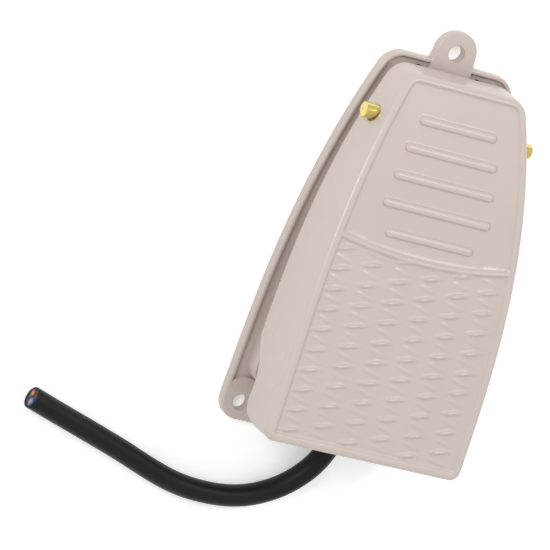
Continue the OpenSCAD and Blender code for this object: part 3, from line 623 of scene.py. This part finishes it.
def pedal_top(s):
    """The pedal's top inside its round edge: border, heel panel with its bars, and the toe floor."""
    outer = ring(PEDAL, EDGE_R)
    inset = s.border_width / MM
    rings = [ring(PEDAL, e) for e in (EDGE_R + 0.4, inset - 0.3)]
    rings += [ring(PANEL, inset + e, 16, 330, 110) for e in (0.05, 0.35, 0.65, 0.95, 1.25, 1.55, 1.9, 2.3)]
    # The toe part is sampled in step with the tread, so that its crests follow rows of points
    steps = 12
    dx, dy = s.diamond_length / MM / 2 / steps, s.diamond_width / MM / 2 / steps
    y0 = ARC_Y + 1
    i, j = np.meshgrid(np.arange(-45, 46), np.arange(-245, 20), indexing="ij")
    grid = np.column_stack([i.ravel() * dx, y0 + j.ravel() * dy])
    deep = depth_inside(PANEL, grid)
    arc = ARC_Y + ARC_R - np.sqrt(ARC_R**2 - grid[:, 0] ** 2)
    toe = grid[(deep > inset + 2.5) & (grid[:, 1] < arc - 1.9)]
    x = np.linspace(-44, 44, 89)[:, None]
    lines = []
    for off in (-1.7, -1.35, -1.0, -0.7, -0.4, -0.15, 0.15, 0.4, 0.7, 1.0, 1.35, 1.7):
        radius = ARC_R + off
        lines.append(np.column_stack([x, ARC_Y + ARC_R - np.sqrt(radius**2 - x**2)]))
    radius = s.bar_width / MM / 2
    for half, y in bar_lines(s):
        for off in (0, 0.5, 0.95, 1.3, 1.55, 1.75, 1.9, 2.1, 2.5, 3.1):
            a = np.linspace(-90, 90, 15)[:, None] * math.pi / 180
            cap = np.column_stack([half + off * np.cos(a), y + off * np.sin(a)])
            run = np.linspace(-half, half, 31)[1:-1, None]
            lines.append(np.vstack([cap, cap * [-1, 1]]))
            lines.append(np.column_stack([run, np.full_like(run, y - off)]))
            if off:
                lines.append(np.column_stack([run, np.full_like(run, y + off)]))
    i, j = np.meshgrid(np.arange(-18, 19), np.arange(0, 36), indexing="ij")
    coarse = np.column_stack([i.ravel() * 2.4 + 0.3, ARC_Y + j.ravel() * 2.1])
    near_bar = np.min([np.hypot(np.maximum(0, np.abs(coarse[:, 0]) - h), coarse[:, 1] - y)
                       for h, y in bar_lines(s)], axis=0)
    arc = ARC_Y + ARC_R - np.sqrt(ARC_R**2 - coarse[:, 0] ** 2)
    coarse = coarse[(near_bar > 3.6) & (coarse[:, 1] > arc + 2.3)]
    loose = np.vstack(lines + [coarse])
    loose = loose[depth_inside(PANEL, loose) > inset + 2.5]
    inner = np.vstack(rings + [toe, loose])
    inner = np.unique(np.round(inner, 4), axis=0)
    flat, faces = filled(outer, inner)
    # The recess never reaches the outer ring, which the skirt has to meet
    deep = np.minimum(depth_inside(PANEL, flat), depth_inside(PEDAL, flat) - EDGE_R - 0.1 + inset)
    recess = smooth((deep - inset) / 1.6) * (1 - arc_height(s, flat))
    arc = ARC_Y + ARC_R - np.sqrt(ARC_R**2 - flat[:, 0] ** 2)
    on_toe = flat[:, 1] < arc
    z = crown(flat[:, 1]) - s.panel_depth / MM * recess
    z = np.where(on_toe, z, z + bar_height(s, flat))
    mesh = mesh_of(np.column_stack([flat, z]), faces)
    tread = mesh.attributes.new("tread", "FLOAT", "POINT")
    tread.data.foreach_set("value", np.where(on_toe, recess, 0.0).astype(np.float32))
    top = show("pedal_top", mesh)
    top.modifiers.new("tread", "NODES").node_group = tread_tree(s, y0)
    return plain(top)


def tread_tree(s, middle):
    """Raises the crossing ridges of the tread wherever the tread attribute leaves room for them."""
    tree = geometry_tree("diamond_tread", {
        "Diamond length": s.diamond_length, "Diamond width": s.diamond_width, "Ridge width": s.ridge_width,
        "Ridge height": s.ridge_height, "Crossing height": s.crossing_height, "Second ridge": s.second_ridge,
        "Offset": TREAD_OFFSET * MM, "Middle": middle * MM}, shape=True)
    given = add_node(tree, "NodeGroupInput").outputs
    spot = add_node(tree, "GeometryNodeInputPosition")
    place = add_node(tree, "ShaderNodeSeparateXYZ", {0: spot.outputs[0]})
    room = add_node(tree, "GeometryNodeInputNamedAttribute", {"Name": "tread"}, data_type="FLOAT")
    value = {socket.name: socket for socket in given if socket.name}
    value.update(X=place.outputs["X"], Y=place.outputs["Y"], room=room.outputs[0])

    # Each step works out one value from others. A fold is 0 on the middle line of a ridge and 0.5 halfway
    # to the next; each ridge is full halfway between two crossings and fades towards them.
    steps = [
        ("x", "SUBTRACT", "X", "Offset"), ("along", "DIVIDE", "x", "Diamond length"),
        ("y", "SUBTRACT", "Y", "Middle"), ("over", "DIVIDE", "y", "Diamond width"),
        ("length squared", "POWER", "Diamond length", 2.0),
        ("width squared", "POWER", "Diamond width", 2.0),
        ("diagonal squared", "ADD", "length squared", "width squared"),
        ("diagonal", "SQRT", "diagonal squared"),
        ("area", "MULTIPLY", "Diamond length", "Diamond width"),
        ("period", "DIVIDE", "area", "diagonal"), ("foot", "MULTIPLY", "Ridge width", 0.5),
        ("falling", "ADD", "along", "over"), ("falling fold", "PINGPONG", "falling", 0.5),
        ("rising", "SUBTRACT", "along", "over"), ("rising fold", "PINGPONG", "rising", 0.5)]
    for way, other, height in (("falling", "rising", "Second ridge"), ("rising", "falling", 1.0)):
        steps += [
            (way + " distance", "MULTIPLY", way + " fold", "period"),
            (way + " ridge", "SMOOTHSTEP", way + " distance", "foot", 0.0001),
            (way + " fade", "SMOOTHSTEP", other + " fold", 0.12, 0.40, "Crossing height"),
            (way + " faded", "MULTIPLY", way + " ridge", way + " fade"),
            (way + " height", "MULTIPLY", way + " faded", height)]
    steps += [("both", "SMOOTH_MAX", "falling height", "rising height", 0.12),
              ("raised", "MULTIPLY", "both", "room"), ("lift", "MULTIPLY", "raised", "Ridge height")]
    for name, operation, *terms in steps:
        kind, setting = "ShaderNodeMath", "operation"
        if operation == "SMOOTHSTEP":
            kind, setting = "ShaderNodeMapRange", "interpolation_type"
        inputs = {k: value.get(term, term) for k, term in enumerate(terms)}
        value[name] = add_node(tree, kind, inputs, **{setting: operation}).outputs[0]
    up = add_node(tree, "ShaderNodeCombineXYZ", {"Z": value["lift"]})
    moved = add_node(tree, "GeometryNodeSetPosition", {
        "Geometry": given["Geometry"], "Offset": up.outputs[0]})
    end_tree(tree, moved.outputs[0], finish_of("enamel"))
    return tree


# Lower edge of the skirt, in Y and Z, from the toe to the heel
SKIRT_EDGE = [(-10.0, 16.9), (1.7, 16.5), (2.6, 12.6), (4.5, 9.9), (7.5, 8.5), (16, 8.5), (20, 8.0),
              (24, 6.5), (28, 3.7), (34, 0)]
SKIRT_TOE_Z, SKIRT_HEEL_Z = 15.3, 8.4


def skirt_low(y):
    """Height of the skirt's lower edge, with its corners softened."""
    ys = [TOE_Y + a for a, _ in SKIRT_EDGE] + [HEEL_Y + 5]
    zs = [SKIRT_TOE_Z + b for _, b in SKIRT_EDGE] + [SKIRT_HEEL_Z]
    return np.mean([np.interp(y + t, ys, zs) for t in np.linspace(-0.7, 0.7, 5)], axis=0)


def skirt_level(share, inset):
    """One ring of the skirt's outside at a share of its height, 0 at the round edge and 1 at the foot."""
    flat, spread = ring(PEDAL, 0), ring(PEDAL, -DRAFT)
    top = crown(flat[:, 1]) - EDGE_R
    z = top + (skirt_low(flat[:, 1]) - top) * share
    out = (top - z) / (top - SKIRT_FOOT_Z)
    points = flat + (spread - flat) * out[:, None]
    if inset:
        inner = ring(PEDAL, SKIRT_T)
        reach = np.linalg.norm(inner - points, axis=1, keepdims=True)
        points = points + (inner - points) * inset / reach
    return points, z


def make_pedal(s):
    """The hollow treadle: crowned top, skirt, bosses inside, and the holes for its pins."""
    top = pedal_top(s)
    levels = []
    for a in np.radians(np.arange(90, -1, -15)):
        flat = ring(PEDAL, EDGE_R * (1 - math.cos(a)))
        levels.append(np.column_stack([flat, crown(flat[:, 1]) - EDGE_R * (1 - math.sin(a))]))
    for share in (0.2, 0.4, 0.6, 0.8, 0.94):
        flat, z = skirt_level(share, 0)
        levels.append(np.column_stack([flat, z]))
    for inset, lift in ((0, 0.6), (0.2, 0.2), (0.6, 0)):
        flat, z = skirt_level(1, inset)
        levels.append(np.column_stack([flat, z + lift]))
    inner = ring(PEDAL, SKIRT_T)
    foot = skirt_low(inner[:, 1])
    ceiling = crown(inner[:, 1]) - CEILING_DROP
    levels.append(np.column_stack([ring(PEDAL, SKIRT_T - 0.5), foot]))
    levels.append(np.column_stack([inner, foot + 0.5]))
    levels.append(np.column_stack([inner, ceiling - 1.5]))
    levels.append(np.column_stack([ring(PEDAL, SKIRT_T + 0.4), ceiling - 0.5]))
    last = ring(PEDAL, SKIRT_T + 1.4)
    levels.append(np.column_stack([last, crown(last[:, 1]) - CEILING_DROP]))
    points, faces = strips(levels)
    i, j = np.meshgrid(np.arange(-6, 7), np.arange(-13, 12), indexing="ij")
    grid = np.column_stack([i.ravel() * 6.5, j.ravel() * 6.5])
    grid = grid[depth_inside(PEDAL, grid) > 6]
    flat, under = filled(last, grid)
    start = len(points)
    points = np.vstack([points, np.column_stack([flat, crown(flat[:, 1]) - CEILING_DROP])])
    faces += [tuple(start + v for v in f) for f in under]
    shell = show("pedal_shell", mesh_of(points, faces))
    join(shell, top)
    outward(shell)

    def ceiling_at(y):
        return float(crown(y)) - CEILING_DROP + 1.5

    spring_z = ceiling_at(SPRING_Y) - 1.5 - SEAT_DROP
    core_z = spring_z - SPRING_CORE_H
    shell_parts = [
        rod((0, SPRING_Y, spring_z), (0, 0, 1), SEAT_R, ceiling_at(SPRING_Y) - spring_z),
        rod((0, SPRING_Y, core_z), (0, 0, 1), SPRING_CORE_R, ceiling_at(SPRING_Y) - core_z),
        rod((0, TRIP_Y, TRIP_BOSS_Z), (0, 0, 1), 4.5, ceiling_at(TRIP_Y) - TRIP_BOSS_Z),
    ]
    for side in (-1, 1):
        shell_parts += [
            rod((side * BUFFER_X, BUFFER_Y, POST_Z), (0, 0, 1), 4, ceiling_at(BUFFER_Y) - POST_Z),
            rod((side * PIN_BOSS_X, PIN_Y, PIN_Z), (side, 0, 0), 6, PIN_BOSS_END_X - PIN_BOSS_X)]
    for part in shell_parts:
        combine(shell, part, "UNION")
    # Running hole of each pin, with a shallow recess round it on the outside
    recess_x = float(half_width(PEDAL, PIN_Y)) - 0.5
    for side in (-1, 1):
        for x, gap, length in ((24, 0.05, 24), (recess_x, 0.9, 8)):
            hole = rod((side * x, PIN_Y, PIN_Z), (side, 0, 0), PIN_D / 2 + gap, length, 0)
            combine(shell, hole, "DIFFERENCE")
    combine(shell, rod((0, TRIP_Y, TRIP_BOSS_Z - 1), (0, 0, 1), 2.02, 6.4, 0), "DIFFERENCE")
    shell.name = "pedal_treadle"
    finish_piece(shell, "pedal", finish_of("enamel"), ["pedal_casting"], 40)


def join(piece, other):
    """Adds the faces of another piece to this one, and drops the other."""
    work = bmesh.new()
    work.from_mesh(piece.data)
    work.from_mesh(other.data)
    work.to_mesh(piece.data)
    work.free()
    bpy.data.objects.remove(other)


# ---------- base ----------


def lip_height(points):
    """Height of the lip: it runs out over the two front ears and stops at the rear lug's tongue."""
    from_ear = np.hypot(np.abs(points[:, 0]) - EAR_X, points[:, 1] - TRAY.toe_y - EAR_R)
    keep = smooth((from_ear - EAR_R - 1.2) / 3.0)
    at_rear = points[:, 1] > 60
    from_tongue = np.abs(points[:, 0]) - LUG_R - 0.6
    keep = np.where(at_rear, keep * smooth(from_tongue / 1.6), keep)
    return LUG_T + (LIP_H - LUG_T) * keep


def make_base():
    """The tray with its lip, ears and lug, the inner wall, and everything that stands on its floor."""
    levels = []
    counts = (14, 90, 40)
    crest = lip_height(ring(TRAY, LIP_W / 2, *counts))

    def level(inset, z=None, drop=0.0):
        high = crest - drop if z is None else np.full(len(crest), z)
        levels.append(np.column_stack([ring(TRAY, inset, *counts), high]))

    level(0.6, 0.0)
    level(0.15, 0.15)
    level(0.0, 0.6)
    for a in np.radians((0, 22, 45, 68, 90)):
        level(0.8 * (1 - math.cos(a)), None, 0.8 * (1 - math.sin(a)))
    for a in np.radians((90, 45, 0)):
        level(LIP_W - 0.5 * (1 - math.cos(a)), None, 0.5 * (1 - math.sin(a)))
    level(LIP_W, FLOOR_T + 0.8)
    level(LIP_W + 0.25, FLOOR_T + 0.25)
    level(LIP_W + 0.8, FLOOR_T)
    tray = outward(show("tray", mesh_of(*capped(levels))))

    parts = []
    # Inner wall
    wall = []
    for inset, z in ((4.3, 0.5), (4.3, 12.0), (4.5, 12.3), (4.8, 12.4), (5.8, 12.4), (6.1, 12.3), (6.3, 12.0),
                     (6.3, 0.5)):
        flat = ring(WALL, inset, 10, 60, 2)
        wall.append(np.column_stack([flat, np.full(len(flat), z)]))
    wall.append(wall[0])
    inner_wall = outward(show("wall", mesh_of(*strips(wall))))
    combine(inner_wall, block((CABLE_X - BLOCK_W / 2, TOE_Y, CABLE_Z - CABLE_D / 2 - 0.6),
                              (CABLE_X + BLOCK_W / 2, TOE_Y + 30, CABLE_Z + 8), 0), "DIFFERENCE")
    parts.append(inner_wall)
    # Ears, inside the tray's outline
    for side in (-1, 1):
        ear = rod((side * EAR_X, TRAY.toe_y + EAR_R, 0.4), (0, 0, 1), EAR_R + 1.5, LUG_T - 0.4, 0.5)
        plan = [tuple(p) for p in ring(TRAY, 1.2, 10, 40, 2)]
        combine(ear, extruded(plan, Matrix.Translation((0, 0, 0.2)), 6, 0), "INTERSECT")
        parts.append(ear)
    # Rear lug with its tongue
    a = np.linspace(0, math.pi, 33)
    tongue = [(LUG_R * math.cos(t), LUG_Y + LUG_R * math.sin(t)) for t in a]
    tongue += [(-LUG_R - 1.6, 66.55), (LUG_R + 1.6, 66.55)]
    parts.append(extruded(tongue, Matrix.Identity(4), LUG_T, 0.7))
    # Uprights that carry the pins
    a = np.radians(np.linspace(10, 170, 25))
    cheek = [(PIN_Y - CHEEK_R - 2, 0.5), (PIN_Y + CHEEK_R + 1, 0.5)]
    cheek += [(PIN_Y + CHEEK_R * math.cos(t), PIN_Z + CHEEK_R * math.sin(t)) for t in a]
    for x in (UPRIGHT_X, -UPRIGHT_X - UPRIGHT_T):
        parts.append(extruded(cheek, Matrix.Translation((x, 0, 0)) @ ACROSS, UPRIGHT_T, 0.6))
    # Switch bracket, spring seat, cable block and saddle feet
    x0 = SWITCH_W / 2 + 0.05
    parts.append(block((x0, TRIP_Y - SWITCH_L / 2, 0.5), (x0 + 3.5, TRIP_Y + SWITCH_L / 2, SWITCH_Z + 9)))
    for side in (-1, 1):
        y = TRIP_Y + side * (SWITCH_L / 2 - 3)
        parts.append(block((-SWITCH_W / 2, y - 2, 0.5), (SWITCH_W / 2 + 1, y + 2, SWITCH_Z - 0.05), 0.3))
    parts.append(rod((0, SPRING_Y, 0.5), (0, 0, 1), SEAT_R, FLOOR_T + 0.5))
    parts.append(rod((0, SPRING_Y, 0.5), (0, 0, 1), SPRING_CORE_R, FLOOR_T + SPRING_CORE_H + 0.5, 0.8))
    low_x, high_x = CABLE_X - BLOCK_W / 2, CABLE_X + BLOCK_W / 2
    parts.append(block((low_x, BLOCK_Y, 0.5), (high_x, BLOCK_Y + BLOCK_T, BLOCK_H), 0.8))
    parts.append(block((CABLE_X - 5, SADDLE_Y - 4, 0.5), (CABLE_X + 5, SADDLE_Y + 4, CABLE_Z - 2.4), 0.3))
    for side in (-1, 1):
        parts.append(rod((CABLE_X + side * SADDLE_HOLE_X, SADDLE_Y, 0.5), (0, 0, 1), 4, CABLE_Z - 0.5, 0.3))
    for part in parts:
        combine(tray, part, "UNION")

    # Where each hole starts, its axis, radius and length
    holes = [((0, LUG_Y, -1), (0, 0, 1), LUG_HOLE_R, 7)]
    for side in (-1, 1):
        holes += [
            ((side * (UPRIGHT_X - 2), PIN_Y, PIN_Z), (side, 0, 0), PIN_D / 2 + 0.02, 12),
            ((side * EAR_X, TRAY.toe_y + EAR_R - 0.9, -1), (0, 0, 1), EAR_HOLE_R, 7),
            ((0, TRIP_Y + side * SWITCH_HOLE_Y, SWITCH_Z + 3), (1, 0, 0), THREAD_R, 10.3),
            ((CABLE_X + side * SADDLE_HOLE_X, SADDLE_Y, CABLE_Z - 5), (0, 0, 1), THREAD_R, 6)]
    # The cable's way through the block, with a seat at each end for the bush's rims, and the saddle's bed
    for y, radius, length in (
            (BLOCK_Y - 1, BUSH_NECK_R + 0.07, BLOCK_T + 2), (BLOCK_Y - 4, BUSH_RIM_R + 0.15, 4),
            (BLOCK_Y + BLOCK_T, BUSH_RIM_R + 0.15, 1.7), (SADDLE_Y - 5, CABLE_D / 2 + 0.02, 10)):
        holes.append(((CABLE_X, y, CABLE_Z), (0, 1, 0), radius, length))
    cuts = [rod(*hole, 0) for hole in holes]
    # Notch in the lip, under the cable
    cuts.append(block((CABLE_X - 6.45, TRAY.toe_y - 1, 3.05),
                      (CABLE_X + 5.45, TRAY.toe_y + LIP_W + 1, 8.0), 0))
    for cut in cuts:
        combine(tray, cut, "DIFFERENCE")
    tray.name = "base_tray"
    finish_piece(tray, "base", finish_of("enamel"), ["base_casting"], 40)


# ---------- pins, spring and rubber ----------


def make_pins():
    """Turned brass pins with chamfered ends and a groove for the clip."""
    for side, name in ((-1, "left"), (1, "right")):
        inner, outer, r = UPRIGHT_X - 2.2, PIN_END_X, PIN_D / 2
        groove = UPRIGHT_X - 1
        profile = [(inner, 0), (inner, r - 0.5), (inner + 0.5, r), (groove, r), (groove, r - 0.75),
                   (groove + 1, r - 0.75), (groove + 1, r), (outer - 0.6, r), (outer - 0.25, r - 0.12),
                   (outer - 0.05, r - 0.4), (outer, r - 0.8), (outer, 0.9), (outer - 0.35, 0.45),
                   (outer - 0.45, 0)]
        pin = turned("brass_pin_" + name, profile, (0, PIN_Y, PIN_Z), (side, 0, 0))
        finish_piece(pin, "base", finish_of("brass"), ["pivot_pin_" + name], 30)


def make_spring():
    """The coil spring between its two seats, with closed end coils."""
    foot = FLOOR_T + 1
    top = float(crown(SPRING_Y)) - CEILING_DROP - SEAT_DROP
    rise = top - foot - 3.1 * SPRING_WIRE - 0.1
    turn = np.linspace(0, SPRING_TURNS + 2, 32 * (SPRING_TURNS + 2) + 1)
    closed = np.clip(turn, 0, 1) + np.clip(turn - SPRING_TURNS - 1, 0, 1)
    z = foot + 0.05 + SPRING_WIRE * (0.5 + 1.05 * closed) + rise * np.clip((turn - 1) / SPRING_TURNS, 0, 1)
    radius = (SPRING_D - SPRING_WIRE) / 2
    line = np.column_stack([radius * np.cos(2 * math.pi * turn),
                            SPRING_Y + radius * np.sin(2 * math.pi * turn), z])
    points, faces = capped(tube_levels(line, [SPRING_WIRE / 2] * len(line), 12))
    spring = outward(show("coil_spring", mesh_of(points, faces, "coil_spring")))
    finish_piece(spring, "base", finish_of("steel"), ["return_spring"], 60)
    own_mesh(spring)


def dress_cad_nodes():
    """Gives every CAD node that still shows its finish."""
    nodes = {
        "enamel": "base_casting pedal_casting",
        "brass": "pivot_pin_left pivot_pin_right terminal_com terminal_no terminal_nc receptacle_com"
                 " receptacle_no",
        "steel": "pin_clip_left pin_clip_right return_spring switch_screws trip_screw trip_nut cable_saddle"
                 " saddle_screws",
        "rubber": "heel_pad_left heel_pad_right toe_buffer_left toe_buffer_right cable_grommet",
        "phenolic": "switch_case switch_cover",
        "plunger_red": "switch_plunger",
        "sheath": "cable_tail cable_sheath",
        "core_brown": "wire_brown",
        "core_blue": "wire_blue",
    }
    for slot, names in nodes.items():
        for name in names.split():
            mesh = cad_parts[name].data
            if not mesh.materials:
                mesh.materials.append(None)
            for i in range(len(mesh.materials)):
                mesh.materials[i] = finish_of(slot)


# ---------- stage ----------


def make_camera():
    """A long lens that looks down on the part from its left."""
    data = bpy.data.cameras.new("camera")
    data.sensor_width = 36.0
    data.lens = 5000 / 550 * 36
    data.clip_end = 20.0
    camera = bpy.data.objects.new("camera", data)
    bpy.context.scene.collection.objects.link(camera)
    camera.location = (-0.963675, 0.404281, 1.766724)
    camera.rotation_euler = [math.radians(a) for a in (-21.09275, -21.78312, 20.99893)]
    bpy.context.scene.camera = camera


def area_light(name, place, size, power, target=(0, 0, 0.02)):
    """A round soft light that faces a target."""
    data = bpy.data.lights.new(name, "AREA")
    data.shape = "DISK"
    data.size = size
    data.energy = power
    light = bpy.data.objects.new(name, data)
    bpy.context.scene.collection.objects.link(light)
    light.location = place
    light.rotation_euler = (Vector(target) - Vector(place)).to_track_quat("-Z", "Y").to_euler()


def make_stage():
    """Pale floor, white surroundings and soft studio light."""
    made = bpy.data.materials.new("stage_floor")
    made.use_nodes = True
    tree = made.node_tree
    shader = tree.nodes["Principled BSDF"]
    shader.inputs["Base Color"].default_value = linear("#F2F2F2")
    shader.inputs["Roughness"].default_value = 0.9
    shader.inputs["Emission Color"].default_value = linear("#FFFFFF")
    seen = add_node(tree, "ShaderNodeLightPath")
    either = add_node(tree, "ShaderNodeMath", {
        0: seen.outputs["Is Camera Ray"], 1: seen.outputs["Is Glossy Ray"]}, operation="MAXIMUM")
    glow = add_node(tree, "ShaderNodeMath", {0: either.outputs[0], 1: 0.35}, operation="MULTIPLY")
    tree.links.new(glow.outputs[0], shader.inputs["Emission Strength"])
    half, level = 6.0, -0.0001
    corners = [(-half, -half, level), (half, -half, level), (half, half, level), (-half, half, level)]
    floor_mesh = bpy.data.meshes.new("stage_floor")
    floor_mesh.from_pydata(corners, [], [(0, 1, 2, 3)])
    floor_mesh.materials.append(made)
    show("stage_floor", floor_mesh)

    world = bpy.data.worlds.new("studio")
    world.use_nodes = True
    tree = world.node_tree
    back = tree.nodes["Background"]
    back.inputs["Color"].default_value = (1, 1, 1, 1)
    seen = add_node(tree, "ShaderNodeLightPath")
    either = add_node(tree, "ShaderNodeMath", {
        0: seen.outputs["Is Camera Ray"], 1: seen.outputs["Is Transmission Ray"]}, operation="MAXIMUM")
    level = add_node(tree, "ShaderNodeMapRange", {"Value": either.outputs[0], "To Min": 0.72, "To Max": 1.0})
    tree.links.new(level.outputs[0], back.inputs["Strength"])
    bpy.context.scene.world = world
    area_light("key", (-1.10, 0.50, 1.12), 0.5, 7.5)
    area_light("rim", (0.62, 0.80, 1.28), 0.26, 4)
    bpy.context.scene.view_settings.view_transform = "Standard"


# ---------- settings, operators and panel ----------


def sizes():
    """The sizes that the sidebar shows."""
    return bpy.context.scene.foot_switch_sizes


def colours():
    """The colours that the sidebar shows."""
    return bpy.context.scene.foot_switch_colours


def length_property(name, description, millimetres):
    """A length for the sidebar."""
    return bpy.props.FloatProperty(name=name, description=description, default=millimetres * MM,
                                   min=0.0, precision=5, unit="LENGTH")


class FootSwitchSizes(bpy.types.PropertyGroup):
    """Sizes of the treadle's top."""

    border_width: length_property("Border", "Width of the smooth border round the pedal's top", 3.1)
    panel_depth: length_property("Panel depth", "Depth of the recessed floors below the border", 1.2)
    bar_width: length_property("Bar width", "Width of a raised bar on the heel panel", 3.2)
    bar_height: length_property("Bar height", "Height of a bar over the panel's floor", 1.4)
    bar_pitch: length_property("Bar pitch", "Distance from bar to bar", 11.5)
    arc_width: length_property("Arc width", "Width of the ridge that closes the heel panel", 1.6)
    diamond_length: length_property("Diamond length", "Long diagonal of a tread diamond", 27.5)
    diamond_width: length_property("Diamond width", "Short diagonal of a tread diamond", 8.5)
    ridge_width: length_property("Ridge width", "Width of a tread ridge at its foot", 3.0)
    ridge_height: length_property("Ridge height", "Height of a tread ridge over the toe floor", 1.0)
    crossing_height: bpy.props.FloatProperty(
        name="Crossing height", description="Height of the tread where two ridges cross, as a share",
        default=0.05, min=0.0, max=1.0, subtype="FACTOR")
    second_ridge: bpy.props.FloatProperty(
        name="Second ridge", description="Height of the ridges that run the other way, as a share",
        default=0.35, min=0.0, max=1.0, subtype="FACTOR")


def colour_property(name, description, text):
    """A colour for the sidebar, from its sRGB hex value."""
    return bpy.props.FloatVectorProperty(name=name, description=description, default=linear(text), size=4,
                                         min=0.0, max=1.0, subtype="COLOR")


class FootSwitchColours(bpy.types.PropertyGroup):
    """Colours of the finishes."""

    enamel: colour_property("Enamel", "Stoved enamel of both castings", "#CCBFB7")
    brass: colour_property("Brass", "Turned brass of the pins and terminals", "#E3CF7E")
    steel: colour_property("Steel", "Zinc-plated steel", "#C2C4C6")
    rubber: colour_property("Rubber", "Moulded rubber of the bush, pads and buffers", "#1D1D1E")
    phenolic: colour_property("Phenolic", "Pressed phenolic of the switch body", "#2B2725")
    plunger: colour_property("Plunger", "Moulded plunger of the switch", "#B3261E")
    sheath: colour_property("Sheath", "Rubber sheath of the cable", "#131315")
    core_brown: colour_property("Brown core", "Insulation of the brown core", "#7A4A3A")
    core_blue: colour_property("Blue core", "Insulation of the blue core", "#4A74C4")
    copper: colour_property("Copper", "Bare copper strands", "#DDA07E")
    filler: colour_property("Filler", "Filler between the cores", "#4A403B")


class FOOTSWITCH_OT_stage(bpy.types.Operator):
    """Makes the camera, the floor and the lights"""

    bl_idname = "footswitch.stage"
    bl_label = "Stage"

    def execute(self, context):
        make_camera()
        make_stage()
        return {"FINISHED"}


class FOOTSWITCH_OT_cable(bpy.types.Operator):
    """Makes the cable, its cut end and its bush"""

    bl_idname = "footswitch.cable"
    bl_label = "Cable"

    def execute(self, context):
        make_cable()
        make_bush()
        return {"FINISHED"}


class FOOTSWITCH_OT_base(bpy.types.Operator):
    """Makes the cast tray"""

    bl_idname = "footswitch.base"
    bl_label = "Base casting"

    def execute(self, context):
        make_base()
        return {"FINISHED"}


class FOOTSWITCH_OT_pedal(bpy.types.Operator):
    """Makes the cast treadle with its bars and tread"""

    bl_idname = "footswitch.pedal"
    bl_label = "Pedal casting"

    def execute(self, context):
        make_pedal(sizes())
        return {"FINISHED"}


class FOOTSWITCH_OT_hinge(bpy.types.Operator):
    """Makes the two brass pins"""

    bl_idname = "footswitch.hinge"
    bl_label = "Hinge pins"

    def execute(self, context):
        make_pins()
        return {"FINISHED"}


class FOOTSWITCH_OT_inside(bpy.types.Operator):
    """Makes the spring and dresses the switch, rubber parts, fixings and wires"""

    bl_idname = "footswitch.inside"
    bl_label = "Inner parts"

    def execute(self, context):
        make_spring()
        dress_cad_nodes()
        return {"FINISHED"}


class FOOTSWITCH_PT_panel(bpy.types.Panel):
    """Lists the operators in the 3D view's sidebar"""

    bl_label = "Foot switch"
    bl_idname = "FOOTSWITCH_PT_panel"
    bl_space_type = "VIEW_3D"
    bl_region_type = "UI"
    bl_category = "Foot switch"

    def draw(self, context):
        for group in (context.scene.foot_switch_sizes, context.scene.foot_switch_colours):
            box = self.layout.box()
            for name in group.__annotations__:
                box.prop(group, name)
        for operator in OPERATORS:
            self.layout.operator(operator.bl_idname)


OPERATORS = (FOOTSWITCH_OT_stage, FOOTSWITCH_OT_cable, FOOTSWITCH_OT_base, FOOTSWITCH_OT_pedal,
             FOOTSWITCH_OT_hinge, FOOTSWITCH_OT_inside)
CLASSES = (FootSwitchSizes, FootSwitchColours) + OPERATORS + (FOOTSWITCH_PT_panel,)


def register():
    """Adds the classes and their settings."""
    for kind in CLASSES:
        bpy.utils.register_class(kind)
    bpy.types.Scene.foot_switch_sizes = bpy.props.PointerProperty(type=FootSwitchSizes)
    bpy.types.Scene.foot_switch_colours = bpy.props.PointerProperty(type=FootSwitchColours)


def unregister():
    """Takes the settings and the classes out again."""
    del bpy.types.Scene.foot_switch_colours
    del bpy.types.Scene.foot_switch_sizes
    for kind in reversed(CLASSES):
        bpy.utils.unregister_class(kind)


def main():
    """Makes every piece in order."""
    register()
    bpy.ops.footswitch.stage()
    bpy.ops.footswitch.cable()
    bpy.ops.footswitch.base()
    bpy.ops.footswitch.pedal()
    bpy.ops.footswitch.hinge()
    bpy.ops.footswitch.inside()


if __name__ == "__main__":
    main()
